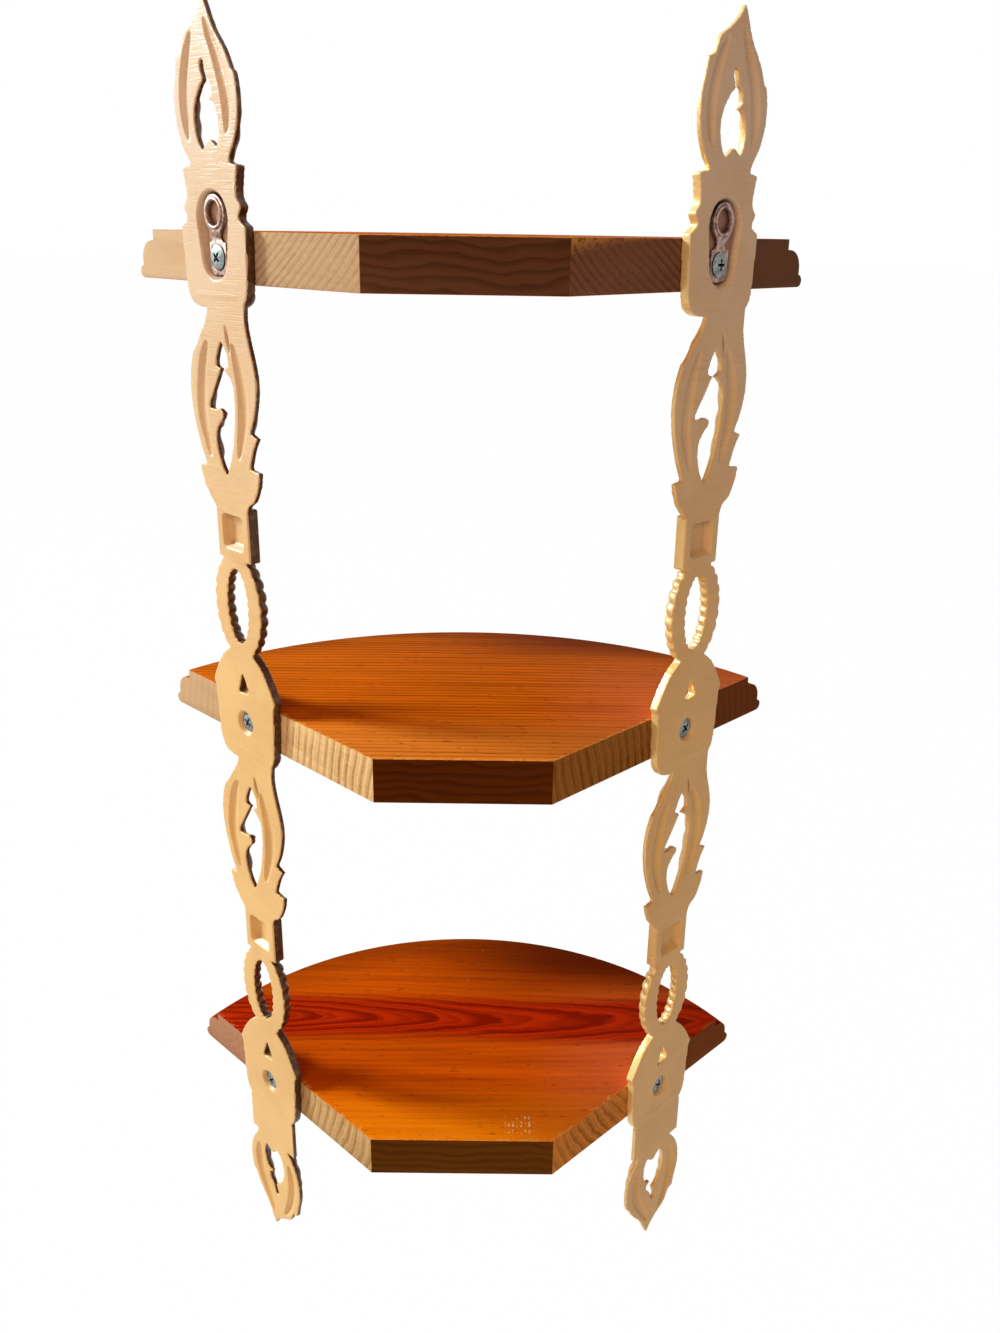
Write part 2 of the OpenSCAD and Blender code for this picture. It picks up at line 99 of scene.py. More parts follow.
@dataclass(frozen=True)
class Layout:
    """Places that every sub-assembly shares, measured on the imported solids, in metres."""

    wall_y: float
    stile_x: float
    tops: tuple[float, float, float]

    @classmethod
    def measured(cls) -> "Layout":
        """Measure the walls, the stiles' centre lines and the boards' top faces."""
        wall_y = max(v.co.x + v.co.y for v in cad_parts["stile_right"].data.vertices)
        low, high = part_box("screw_middle_right")
        middle = (low + high) / 2
        tops = tuple(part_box(f"shelf_{level.name.lower()}")[1].z for level in Level)
        return cls(wall_y, (middle.x - middle.y + wall_y) / 2, tops)

    def on_wall(self, side: Side) -> Matrix:
        """Give the placing of a stile's face on a wall.

        Args:
            side: the wall.

        Returns:
            The matrix that takes millimetres on a stile, x across, y up from the top board's face and z into
            the room, to metres in the shelf's frame.
        """
        place = Matrix.Translation((side.value * self.stile_x, self.wall_y - self.stile_x, self.tops[0]))
        turn = Matrix.Rotation(-side.value * WALL_TURN, 4, "Z") @ Matrix.Rotation(math.pi / 2, 4, "X")
        return place @ turn @ Matrix.Scale(MM, 4)


def linear(level: int) -> float:
    """Turn one channel of a screen colour, of 0 to 255, into Blender's linear one."""
    return ((level / 255 + 0.055) / 1.055) ** 2.4 if level > 10 else level / 255 / 12.92


def rgb(red: int, green: int, blue: int) -> Colour:
    """Turn a screen colour of 0 to 255 into Blender's linear colour."""
    return linear(red), linear(green), linear(blue), 1.0


def deselect() -> None:
    """Leave edit mode and deselect everything."""
    if bpy.context.object is not None and bpy.context.object.mode != "OBJECT":
        bpy.ops.object.mode_set(mode="OBJECT")
    bpy.ops.object.select_all(action="DESELECT")


def activate(*pieces: Piece) -> Piece:
    """Select these pieces alone and make the first one active."""
    deselect()
    for piece in pieces:
        piece.select_set(True)
    bpy.context.view_layer.objects.active = pieces[0]
    return pieces[0]


def apply_modifier(piece: Piece, kind: str, **settings: object) -> None:
    """Give a piece one modifier and apply it.

    Args:
        piece: the piece.
        kind: Blender's name for the type of modifier.
        settings: the modifier's settings.
    """
    activate(piece)
    bpy.ops.object.modifier_add(type=kind)
    modifier = piece.modifiers[-1]
    for name, value in settings.items():
        setattr(modifier, name, value)
    bpy.ops.object.modifier_apply(modifier=modifier.name)


def cut_away(piece: Piece, cutter: Piece) -> None:
    """Cut one closed shape out of another, and delete the cutter."""
    apply_modifier(piece, "BOOLEAN", object=cutter, operation="DIFFERENCE", solver="EXACT")
    bpy.data.objects.remove(cutter)


def joined(pieces: Sequence[Piece]) -> Piece:
    """Join pieces into the first one."""
    first = activate(*pieces)
    if len(pieces) > 1:
        bpy.ops.object.join()
    return first


def volume(mesh: bpy.types.Mesh) -> float:
    """Give six times the volume of a closed mesh, which is negative where its faces are turned inwards."""
    mesh.calc_loop_triangles()
    corners = ([mesh.vertices[i].co for i in triangle.vertices] for triangle in mesh.loop_triangles)
    return sum(a.dot(b.cross(c)) for a, b, c in corners)


def clean(piece: Piece, gap: float) -> Piece:
    """Merge points nearer than gap and turn every face outwards, also on a long and thin shape."""
    activate(piece)
    bpy.ops.object.mode_set(mode="EDIT")
    bpy.ops.mesh.select_all(action="SELECT")
    bpy.ops.mesh.remove_doubles(threshold=gap)
    bpy.ops.mesh.normals_make_consistent(inside=False)
    bpy.ops.object.mode_set(mode="OBJECT")
    if volume(piece.data) < 0:
        bpy.ops.object.mode_set(mode="EDIT")
        bpy.ops.mesh.select_all(action="SELECT")
        bpy.ops.mesh.flip_normals()
        bpy.ops.object.mode_set(mode="OBJECT")
    return piece


def own_copy(piece: Piece) -> Piece:
    """Copy a piece with its own mesh."""
    twin = piece.copy()
    twin.data = piece.data.copy()
    bpy.context.scene.collection.objects.link(twin)
    return twin


def moved(piece: Piece, place: Matrix) -> Piece:
    """Move a piece's mesh, which leaves its object at the origin."""
    piece.data.transform(place)
    piece.data.update()
    return piece


def cad_copy(node: str, name: str) -> Piece:
    """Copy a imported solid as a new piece, with its flat faces whole again.

    Args:
        node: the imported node.
        name: the new piece's name.

    Returns:
        The copy, free of the node's parent and marks.
    """
    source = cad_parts[node]
    piece = bpy.data.objects.new(name, source.data.copy())
    piece.data.materials.clear()
    bpy.context.scene.collection.objects.link(piece)
    clean(piece, 1e-5)
    bpy.ops.object.mode_set(mode="EDIT")
    bpy.ops.mesh.customdata_custom_splitnormals_clear()
    bpy.ops.mesh.dissolve_limited(angle_limit=math.radians(0.4))
    bpy.ops.object.mode_set(mode="OBJECT")
    return piece


def finish_piece(piece: Piece, name: str, slot: str, material: bpy.types.Material, *nodes: str) -> None:
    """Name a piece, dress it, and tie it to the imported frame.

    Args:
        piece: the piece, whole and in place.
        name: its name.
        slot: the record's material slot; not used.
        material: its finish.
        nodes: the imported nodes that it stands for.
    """
    piece.name = name
    piece.data.name = name
    piece.data.materials.clear()
    piece.data.materials.append(material)
    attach(piece, BODY)
    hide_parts(*nodes)
    LOG.info("%s: %d faces", name, len(piece.data.polygons))


def smooth(points: Spine, steps: int = 3) -> list[Vector]:
    """Run a smooth curve through points.

    Args:
        points: the points, each of the same number of values.
        steps: how many stretches lie between two points.

    Returns:
        The points of the curve, the given ones among them.
    """
    last = len(points) - 1
    run = []
    for i in range(last):
        a, b, c, d = (Vector(points[min(max(i + j, 0), last)]) for j in (-1, 0, 1, 2))
        for t in (j / steps for j in range(steps)):
            pull = (c - a) * t + (2 * a - 5 * b + 4 * c - d) * t**2 + (3 * b - a - 3 * c + d) * t**3
            run.append(b + pull / 2)
    return run + [Vector(points[last])]


def outline(*stretches: Sequence[Point]) -> list[Vector]:
    """Join smooth stretches, which meet at corners, into one closed outline."""
    return [point for stretch in stretches for point in smooth(stretch)]


def mirrored(points: Sequence[Vector]) -> list[Vector]:
    """Mirror an outline's half across the centre line, in reverse order."""
    return [Vector((-p.x, p.y)) for p in reversed(points)]


def plate(points: Sequence[Vector], low: float, high: float) -> Piece:
    """Make a flat slab with an outline, as a filled curve that is extruded.

    Args:
        points: the outline.
        low: the height of its lower face.
        high: the height of its upper face.

    Returns:
        The slab as a closed mesh.
    """
    curve = bpy.data.curves.new("plate", "CURVE")
    curve.dimensions = "2D"
    curve.fill_mode = "BOTH"
    curve.extrude = (high - low) / 2
    spline = curve.splines.new("POLY")
    spline.points.add(len(points) - 1)
    spline.use_cyclic_u = True
    for target, point in zip(spline.points, points):
        target.co = (point.x, point.y, 0, 1)
    slab = bpy.data.objects.new("plate", curve)
    bpy.context.scene.collection.objects.link(slab)
    activate(slab)
    bpy.ops.object.convert(target="MESH")
    slab = bpy.context.object
    return moved(clean(slab, 1e-3), Matrix.Translation((0, 0, (high + low) / 2)))


def narrowed(piece: Piece, height: float, share: float, shift: float = 0.0) -> Piece:
    """Draw in the face of a slab at one height, which gives it sloping walls.

    Args:
        piece: the slab.
        height: the height of the face.
        share: the size that the face keeps.
        shift: how far the face moves up along y, which makes one wall steep and the other one a ramp.

    Returns:
        The same slab.
    """
    rim = [v.index for v in piece.data.vertices if abs(v.co.z - height) < 1e-3]
    middle = sum((piece.data.vertices[i].co for i in rim), Vector()) / len(rim)
    activate(piece)
    bpy.ops.object.mode_set(mode="EDIT")
    bpy.ops.mesh.select_all(action="DESELECT")
    bpy.ops.object.mode_set(mode="OBJECT")
    for i in rim:
        piece.data.vertices[i].select = True
    bpy.ops.object.mode_set(mode="EDIT")
    bpy.ops.transform.resize(value=(share, share, 1), center_override=middle)
    bpy.ops.transform.translate(value=(0, shift, 0))
    bpy.ops.object.mode_set(mode="OBJECT")
    return piece


def turned(points: Sequence[Point], around: int = 48) -> Piece:
    """Spin a half outline round the z axis.

    Args:
        points: the radius and the height of each point, from the axis out and back to it.
        around: the number of steps.

    Returns:
        The closed shape.
    """
    mesh = bpy.data.meshes.new("turned")
    mesh.from_pydata([(r, 0, z) for r, z in points], [(i, i + 1) for i in range(len(points) - 1)], [])
    piece = bpy.data.objects.new("turned", mesh)
    bpy.context.scene.collection.objects.link(piece)
    activate(piece)
    bpy.ops.object.mode_set(mode="EDIT")
    bpy.ops.mesh.select_all(action="SELECT")
    bpy.ops.mesh.spin(steps=around, angle=FULL_TURN, center=(0, 0, 0), axis=(0, 0, 1))
    bpy.ops.object.mode_set(mode="OBJECT")
    return clean(piece, 1e-3)


@dataclass(frozen=True)
class LeafLook:
    """How a leaf is carved: lobes along its edges, veins up to them, and a groove along its middle."""

    lobes: float = 0
    rake: float = 0.9
    scallop: float = 0.0
    vein: float = 0.0
    rib: float = 0.0
    rib_spread: float = 0.14
    blunt: float = 0.10
    fullness: float = 2.4
    roundness: float = 0.6


ACANTHUS = LeafLook(lobes=6, scallop=0.04, vein=0.30, rib=0.8)
FROND = LeafLook(lobes=4, scallop=0.04, vein=0.25, rib=0.6)
PLAIN = LeafLook()
HOLLOW = LeafLook(blunt=0.08, fullness=2.2, roundness=0.9)


@dataclass
class Leaf:
    """A carved leaf, or the hollow of one, along a spine of points [x, y, width, height], in millimetres."""

    spine: Spine
    base: float
    root: float
    look: LeafLook = PLAIN
    across: int = 16
    along: int = 40

    def build(self) -> Piece:
        """Shape a thick grid along the spine."""
        bpy.ops.object.select_all(action="DESELECT")
        bpy.ops.mesh.primitive_grid_add(x_subdivisions=self.across, y_subdivisions=self.along, size=2)
        leaf = bpy.context.object
        bpy.ops.object.mode_set(mode="EDIT")
        bpy.ops.mesh.select_all(action="SELECT")
        bpy.ops.mesh.extrude_region_move(TRANSFORM_OT_translate={"value": (0, 0, 1)})
        bpy.ops.object.mode_set(mode="OBJECT")
        run = smooth(self.spine, 6)
        for vertex in leaf.data.vertices:
            vertex.co = self.carved(run, vertex.co.x, (vertex.co.y + 1) / 2, vertex.co.z > 0.5)
        return clean(leaf, 1e-4)

    def carved(self, run: Sequence[Vector], u: float, t: float, raised: bool) -> Vector:
        """Place one point of the leaf.

        Args:
            run: the smooth spine.
            u: the place across, from -1 to 1.
            t: the place along, from 0 to 1.
            raised: whether the point is on the face of the leaf, and not under it.

        Returns:
            The point.
        """
        spot = t * (len(run) - 1)
        i = min(int(spot), len(run) - 2)
        here = run[i].lerp(run[i + 1], spot - i)
        ahead = run[i + 1] - run[i]
        side = Vector((ahead[1], -ahead[0])).normalized()
        look = self.look
        end = min(1.0, t / look.blunt, (1 - t) / look.blunt)
        taper = math.sin(end * math.pi / 2) ** 0.6
        beat = math.cos(FULL_TURN * look.lobes * (t - look.rake * abs(u) / max(look.lobes, 1) / 2))
        half = here[2] / 2 * max(taper, 0.05) * (1 + look.scallop * beat * abs(u))
        z = self.base - self.root
        if raised:
            dome = max(0.0, 1 - abs(u) ** look.fullness) ** look.roundness * taper
            z += (here[3] + self.root) * dome
            z += look.vein * beat * math.sin(math.pi * abs(u)) * taper
            z -= look.rib * math.exp(-((u / look.rib_spread) ** 2)) * taper
        return Vector((here[0] + side.x * u * half, here[1] + side.y * u * half, z))


@dataclass
class Stile:
    """One of the two like mouldings that carry the boards. Lengths are in millimetres, and the numbers of an
    outline are x across, as seen from the room, and y up."""

    layout: Layout
    pitch: float = 193.0
    board_t: float = 19.0
    pad_t: float = 4.0
    web_t: float = 2.2
    relief_h: float = 4.0
    tablet_w: float = 46.4
    tablet_rise: float = 22.0
    foot_y: float = -28.0
    scroll_h: float = 78.0
    neck: tuple[float, float, float] = (23.0, 22.5, 5.4)
    neck_pocket: tuple[float, float, float] = (15.6, 15.6, 3.2)
    neck_draft: float = 0.78
    neck_ramp: float = 1.1
    tail: Point = (35.0, 17.5)
    oval_y: float = -149.0
    oval: Point = (34.0, 47.0)
    eye: Point = (14.6, 32.4)
    strands: int = 24
    strand_h: float = 0.95
    strand_lay: float = 1.1
    ledge: Point = (34.0, 8.4)
    screw_y: float = -9.5
    head_r: float = 4.7
    shank_r: float = 2.5
    dome_h: float = 0.8
    cone_h: float = 2.2
    head_sunk: float = 0.8
    top_head_sunk: float = 0.4
    recess_r: float = 5.7
    pocket: tuple[float, float, float] = (22.0, 17.6, 34.0)
    pocket_y: float = -1.6
    pocket_d: float = 2.8
    pocket_draft: float = 0.87
    hollow_d: float = 1.6
    root: float = 0.5
    over: float = 1.0
    voxel: float = 0.5
    triangles: int = 190_000

    def build(self, side: Side, like: Piece | None = None) -> Piece:
        """Make one stile on its wall, or copy it from the other wall.

        Args:
            side: the wall.
            like: the stile's mesh in its own frame, if it is modelled already.

        Returns:
            The placed stile.
        """
        return moved(own_copy(like or self.model()), self.layout.on_wall(side))

    def model(self) -> Piece:
        """Model the moulding in its own frame: its parts are fused and its carved edges softened."""
        shield = self.tablet(Level.MIDDLE)
        scroll = self.scroll()
        neck = self.neck_block()
        oval = self.rope_oval()
        finial = self.finial()
        tail_y = -2 * self.pitch + self.foot_y
        parts = [self.tablet(Level.TOP), self.tail_piece(tail_y)]
        neck_y = self.foot_y - self.scroll_h - self.neck[1]
        for level in (0, 1):
            parts += [
                self.at(own_copy(piece), y - level * self.pitch)
                for piece, y in ((scroll, self.foot_y), (neck, neck_y), (oval, self.oval_y))
            ]
            parts.append(self.at(own_copy(shield), -(level + 1) * self.pitch))
        parts.append(self.at(own_copy(finial), self.tablet_rise))
        upside_down = Matrix.Translation((0, tail_y - self.tail[1], 0)) @ Matrix.Rotation(math.pi, 4, "Z")
        parts.append(moved(own_copy(finial), upside_down))
        for piece in (shield, scroll, neck, oval, finial):
            bpy.data.objects.remove(piece)
        moulding = joined(parts)
        apply_modifier(moulding, "REMESH", mode="VOXEL", voxel_size=self.voxel)
        apply_modifier(moulding, "SMOOTH", factor=0.5, iterations=2)
        apply_modifier(moulding, "DECIMATE", ratio=min(1.0, self.triangles / 2 / len(moulding.data.polygons)))
        bpy.ops.object.shade_smooth()
        return moulding

    @staticmethod
    def at(piece: Piece, y: float) -> Piece:
        """Move a part up the stile."""
        return moved(piece, Matrix.Translation((0, y, 0)))

    def leaf(self, spine: Spine, look: LeafLook, base: float) -> Piece:
        """Make a raised leaf, whose spine gives its heights as shares of the relief."""
        return Leaf([(x, y, w, h * self.relief_h) for x, y, w, h in spine], base, self.root, look).build()

    def hollow(self, spine: Spine) -> Piece:
        """Make the cutter of a rounded hollow, whose spine gives depths as shares of the full one."""
        run = [(x, y, w, h * self.hollow_d) for x, y, w, h in spine]
        return Leaf(run, 0, self.over, HOLLOW, 12, 30).build()

    def through(self, points: Sequence[Vector]) -> Piece:
        """Make the cutter of an opening through the whole thickness."""
        return plate(points, -self.over, self.web_t + self.relief_h + 2 * self.over)

    def screw_hole(self, sunk: float, mouth_r: float) -> Piece:
        """Make the cutter of a dished and countersunk hole.

        Args:
            sunk: the depth of the screw's domed top below the back face.
            mouth_r: the hole's radius at the back face.

        Returns:
            The cutter.
        """
        rim = sunk + self.dome_h
        end = 5 * self.pad_t
        cutter = turned([
            (0, -self.over), (mouth_r, -self.over), (mouth_r, 0), (self.head_r, rim),
            (self.shank_r, rim + self.cone_h), (self.shank_r, end), (0, end),
        ])
        return self.at(cutter, self.screw_y)

    def tablet(self, level: Level) -> Piece:
        """Make the solid part behind a board, with its relief, ledge, screw hole and, at the top, pocket."""
        body = plate(self.head_outline() if level is Level.TOP else self.shield_outline(), 0, self.pad_t)
        if level is Level.TOP:
            middle = [(0, 1.6, 9, 0.4), (0, 9, 10, 0.85), (0, 18, 5, 0.55)]
            pocket = plate(self.egg(*self.pocket, self.pocket_y), -self.over, self.pocket_d)
            cutters = [
                narrowed(pocket, self.pocket_d, self.pocket_draft),
                self.screw_hole(self.top_head_sunk, self.head_r),
            ]
        else:
            middle = [(0, 14.4, 4, 0.3), (0, 17.6, 7, 0.8), (0, 21.6, 4, 0.4)]
            cutters = [self.through(self.shield_opening()), self.screw_hole(self.head_sunk, self.recess_r)]
        beside = [[(s * 7.4, 1.8, 6, 0.4), (s * 11, 8, 7, 0.75), (s * 11.4, 15, 4, 0.45)] for s in (-1, 1)]
        leaves = [self.leaf(spine, FROND, self.pad_t) for spine in (middle, *beside)]
        for cutter in cutters:
            cut_away(body, cutter)
        return joined([body, *leaves, *self.ledge_bar()])

    def ledge_bar(self) -> list[Piece]:
        """Make the half-round ledge, as a bar with ball ends."""
        width, height = self.ledge
        r = height / 2
        y = -self.board_t - r
        deselect()
        bpy.ops.mesh.primitive_cylinder_add(
            vertices=32, radius=r, depth=width - height, location=(0, y, self.pad_t),
            rotation=(0, math.pi / 2, 0),
        )
        bars = [bpy.context.object]
        for s in (-1, 1):
            deselect()
            bpy.ops.mesh.primitive_uv_sphere_add(
                segments=32, ring_count=16, radius=r, location=(s * (width / 2 - r), y, self.pad_t)
            )
            bars.append(bpy.context.object)
        for bar in bars:
            activate(bar)
            bpy.ops.object.transform_apply(location=True, rotation=True, scale=True)
        return bars

    @staticmethod
    def egg(head_w: float, foot_w: float, height: float, y: float, steps: int = 20) -> list[Vector]:
        """Outline an egg that stands on its narrow end: two arcs and their common tangents.

        Args:
            head_w: the width of its head.
            foot_w: the width of its foot.
            height: its height.
            y: the height of its middle.
            steps: the number of steps in each arc.

        Returns:
            The outline.
        """
        lean = math.asin((head_w - foot_w) / (2 * height - head_w - foot_w))
        arcs = (
            (head_w / 2, y + (height - head_w) / 2, -lean, math.pi + lean),
            (foot_w / 2, y - (height - foot_w) / 2, math.pi + lean, FULL_TURN - lean),
        )
        return [
            Vector((r * math.cos(a), middle + r * math.sin(a)))
            for r, middle, start, end in arcs
            for a in (start + (end - start) * i / steps for i in range(steps + 1))
        ]

    def shield_outline(self) -> list[Vector]:
        """Outline the tablet of a lower board."""
        foot = self.foot_y
        half = outline(
            [(8.5, 23.5), (14.2, 19.4), (19, 13), (23.2, 5.6)],
            [(21.8, 3), (21.4, -6), (20.9, foot + 13), (19.8, foot + 6), (16.6, foot + 1.4), (12, foot)],
        )
        return mirrored(half) + half

    def head_outline(self) -> list[Vector]:
        """Outline the top board's tablet."""
        foot = self.foot_y
        half = [Vector((12.5, 23.6)), Vector((18.4, 22.6))] + outline(
            [(17.2, 17), (16.8, 12), (19.4, 8.6), (17.4, 4.6), (21.8, 1.6)],
            [(21.6, -4), (21.2, foot + 13), (20, foot + 5), (16.6, foot + 1.2), (12, foot)],
        )
        return mirrored(half) + half

    @staticmethod
    def shield_opening() -> list[Vector]:
        """Outline the small pointed opening above a lower board."""
        return outline(
            [(-0.2, 14), (-2, 10.6), (-3.8, 7.4), (-3.9, 5.6)],
            [(-3.4, 5), (0, 4.5), (3.4, 4.4)],
            [(3.6, 5.2), (2.2, 8.8), (0.6, 12.8)],
        )

    def scroll(self) -> Piece:
        """Make the large pierced scroll between two boards."""
        leaves = [
            ([(-7.6, 2, 10, 0.4), (-9.4, -10, 11, 0.7), (-12.6, -24, 11, 0.9), (-13.8, -36, 9, 0.9),
              (-11.4, -47, 8, 0.8), (-8.6, -60, 8, 0.6)], ACANTHUS),
            ([(3, -2, 6, 0.4), (8.6, -11, 8, 0.7), (12.8, -24, 10, 0.9), (16.4, -38, 9, 0.9),
              (13.4, -52, 8, 0.8), (9.4, -62, 8, 0.6)], ACANTHUS),
            ([(8.6, -47, 4, 0.5), (7.4, -42.6, 4, 0.7), (3.8, -40.8, 2, 0.5)], PLAIN),
            ([(0, -69, 4, 0.4), (0, -73.5, 8, 0.9), (0, -79, 6, 0.6)], FROND),
        ]
        for s in (-1, 1):
            leaves.append(([(s * 7, -78, 5, 0.4), (s * 12, -71, 8, 0.8), (s * 18, -65, 4, 0.5)], FROND))
        outside = outline(
            [(-18, 3), (-17.5, -4), (-18.8, -10.5), (-22, -21), (-22.9, -29), (-20.6, -39), (-17, -46.2)],
            [(-21.6, -48), (-18.3, -53), (-15.4, -60.6)],
            [(-21.8, -61.4), (-20.6, -67), (-17, -73.5), (-13, -76), (-11.5, -79)],
            [(11.5, -79), (15.5, -75), (18.6, -71), (21.2, -63.3)],
            [(15.8, -62.5), (19.5, -55), (23, -44), (24.3, -33), (23, -24), (20.4, -17.4)],
            [(18.8, -16.3), (13.5, -9.5), (9, -3.5), (7, 3)],
        )
        inside = outline(
            [(0, -12.5), (2.6, -16.5), (4.2, -21.6), (0.9, -22.8)],
            [(2, -24.2), (5.4, -29.4), (10.6, -37)],
            [(10.9, -38.9), (7.5, -39.4), (3.8, -38.8), (1.2, -40.2)],
            [(1.6, -42.2), (6.6, -47.5), (7.2, -54), (4.6, -61.5), (1.3, -65.5)],
            [(0.3, -64), (-3.4, -56), (-6.3, -45), (-7.4, -34), (-6.6, -28), (-3.6, -24.8), (-0.9, -23.4)],
            [(-4.6, -21.4), (-3.8, -17), (-1.2, -13.4)],
        )
        hollows = [
            [(-7.2, -12, 3, 0.5), (-10.6, -20, 7, 0.9), (-13.2, -31, 8.4, 1), (-12.6, -42, 8, 1),
             (-9.8, -52, 5.6, 0.8), (-8, -58.5, 2.6, 0.4)],
            [(9.4, -12, 3, 0.5), (13, -20, 6.8, 0.9), (15.6, -31, 8, 1), (16.4, -42, 7.8, 1),
             (14, -52, 6, 0.8), (11.8, -60, 2.8, 0.4)],
            [(-3.8, -6, 1.4, 0.4), (-4.9, -11, 2.6, 0.9), (-6.3, -17, 1.2, 0.4)],
        ]
        return self.pierced(outside, inside, leaves, hollows)

    def finial(self) -> Piece:
        """Make the flame-like finial, base at y = 0."""
        leaves = [
            ([(-8, 0, 7, 0.4), (-12.8, 10, 7.6, 0.7), (-13.6, 20, 9, 0.9), (-10.4, 31, 9, 0.8),
              (-5.4, 42, 6, 0.5), (-3, 52, 3, 0.3)], ACANTHUS),
            ([(7, 0, 5.6, 0.4), (11.6, 9, 7, 0.7), (13.4, 20, 8.4, 0.9), (11, 31, 9, 0.8),
              (5.4, 42, 6, 0.5)], ACANTHUS),
        ]
        outside = outline(
            [(11, -3), (11.5, 1), (16.4, 7), (19.9, 15), (20.6, 25), (18.6, 33), (17.4, 38.6)],
            [(14, 39.4), (13.2, 41.2), (11, 45.6), (5.2, 49), (0.2, 53), (-2.4, 57)],
            [(-4.6, 53), (-8.2, 46), (-14.6, 38.5), (-18.2, 32)],
            [(-19.8, 31), (-21, 26), (-21, 18), (-18.4, 10), (-14, 3.5), (-13, -3)],
        )
        inside = outline(
            [(1.4, 36), (1.8, 33.6), (0.3, 29.6), (2.6, 27.6), (6.6, 22), (7.8, 16), (6.2, 9.5), (3.4, 6.2)],
            [(1.4, 7.4), (-1.6, 9.6), (-4.6, 8)],
            [(-6.4, 6.8), (-8.4, 12), (-7.8, 18), (-5.6, 22), (-2.4, 22.8)],
            [(-5.4, 24.6), (-4.4, 28.6), (-2.2, 30.6), (-1.2, 33.6), (-0.6, 36.2)],
        )
        hollows = [
            [(-13, 10, 2.8, 0.5), (-14.2, 18.5, 7, 1), (-12.8, 28, 7.6, 1), (-8.6, 38, 6.4, 1),
             (-5, 44.5, 5, 0.8), (-2.4, 50, 2, 0.4)],
            [(11.8, 8.6, 2.6, 0.5), (13.6, 16, 6, 1), (14, 24, 6.8, 1), (12.6, 32, 6.4, 1),
             (9.6, 40, 5.2, 0.9), (5.8, 46.5, 2, 0.4)],
        ]
        return self.pierced(outside, inside, leaves, hollows)

    def pierced(
        self,
        outside: Sequence[Vector],
        inside: Sequence[Vector],
        leaves: Sequence[tuple[Spine, LeafLook]],
        hollows: Sequence[Spine],
    ) -> Piece:
        """Make a pierced part: a plate with leaves on its face and rounded hollows in its back.

        Args:
            outside: its outline.
            inside: the outline of its opening.
            leaves: each leaf's spine and look.
            hollows: each hollow's spine.

        Returns:
            The part, whose shells overlap until the stile is fused.
        """
        shells = [plate(outside, 0, self.web_t)]
        shells += [self.leaf(spine, look, self.web_t) for spine, look in leaves]
        for cutter in (self.through(inside), joined([self.hollow(spine) for spine in hollows])):
            for shell in shells:
                cut_away(shell, own_copy(cutter))
            bpy.data.objects.remove(cutter)
        return joined([shell for shell in shells if len(shell.data.polygons)])

    def neck_block(self) -> Piece:
        """Make the block between a scroll and an oval, hollowed at the back."""
        width, height, thick = self.neck
        half = width / 2
        corners = ((-half, 0), (half, 0), (half, height), (-half, height))
        block = plate([Vector(corner) for corner in corners], 0, thick)
        pocket_w, pocket_h, pocket_d = self.neck_pocket
        hollow = plate(self.rounded_box(pocket_w, pocket_h, height / 2, 2.4), -self.over, pocket_d)
        cut_away(block, narrowed(hollow, pocket_d, self.neck_draft, self.neck_ramp))
        apply_modifier(
            block, "BEVEL", width=0.8, segments=3, limit_method="ANGLE", angle_limit=math.radians(60)
        )
        return block

    @staticmethod
    def rounded_box(width: float, height: float, y: float, corner_r: float, steps: int = 6) -> list[Vector]:
        """Outline a box with round corners.

        Args:
            width: its width.
            height: its height.
            y: the height of its middle.
            corner_r: the radius of its corners.
            steps: the number of steps in each corner.

        Returns:
            The outline.
        """
        points = []
        for i, (sx, sy) in enumerate(((1, 1), (-1, 1), (-1, -1), (1, -1))):
            for a in (math.pi / 2 * (i + j / steps) for j in range(steps + 1)):
                x = sx * (width / 2 - corner_r) + corner_r * math.cos(a)
                points.append(Vector((x, y + sy * (height / 2 - corner_r) + corner_r * math.sin(a))))
        return points

    def rope_oval(self) -> Piece:
        """Make the oval of twisted rope, centred on the origin."""
        steps = 8 * self.strands
        ring = plate(self.beaded(self.oval, 1, steps), 0, self.web_t)
        cut_away(ring, self.through(self.beaded(self.eye, -1, steps)))
        deselect()
        bpy.ops.mesh.primitive_torus_add(
            major_segments=steps, minor_segments=16, major_radius=2, minor_radius=1
        )
        rope = bpy.context.object
        for vertex in rope.data.vertices:
            vertex.co = self.on_rope(vertex.co)
        return joined([ring, rope])

    def beaded(self, size: Point, out: int, steps: int) -> list[Vector]:
        """Outline an oval whose edge bulges at each strand.

        Args:
            size: the oval's width and height over the bulges.
            out: 1 if the bulges point outwards, or -1 if they point inwards.
            steps: the number of points.

        Returns:
            The outline.
        """
        points = []
        for i in range(steps):
            t = FULL_TURN * i / steps
            bulge = self.strand_h * (abs(math.cos(self.strands * t / 2 + out * self.strand_lay)) - 1)
            half_w, half_h = (length / 2 + out * bulge for length in size)
            points.append(Vector((half_w * math.cos(t), half_h * math.sin(t))))
        return points

    def on_rope(self, ring_point: Vector) -> Vector:
        """Move a point of a plain ring, of radii 2 and 1, onto the twisted rope."""
        t = math.atan2(ring_point.y, ring_point.x)
        out = math.hypot(ring_point.x, ring_point.y) - 2
        a = math.atan2(ring_point.z, out)
        edge = Vector((self.oval[0] * math.cos(t), self.oval[1] * math.sin(t))) / 2
        eye = Vector((self.eye[0] * math.cos(t), self.eye[1] * math.sin(t))) / 2
        across = (edge - eye) / 2
        lay = abs(math.cos(self.strands * t / 2 + self.strand_lay * math.cos(a)))
        swell = self.strand_h * (lay**0.7 - 1) * 1.3
        middle = (edge + eye) / 2 + across * math.cos(a) * (1 + swell / across.length)
        z = self.web_t - self.root + (self.relief_h + self.root + swell) * math.sin(a)
        return Vector((middle.x, middle.y, max(z, self.root)))

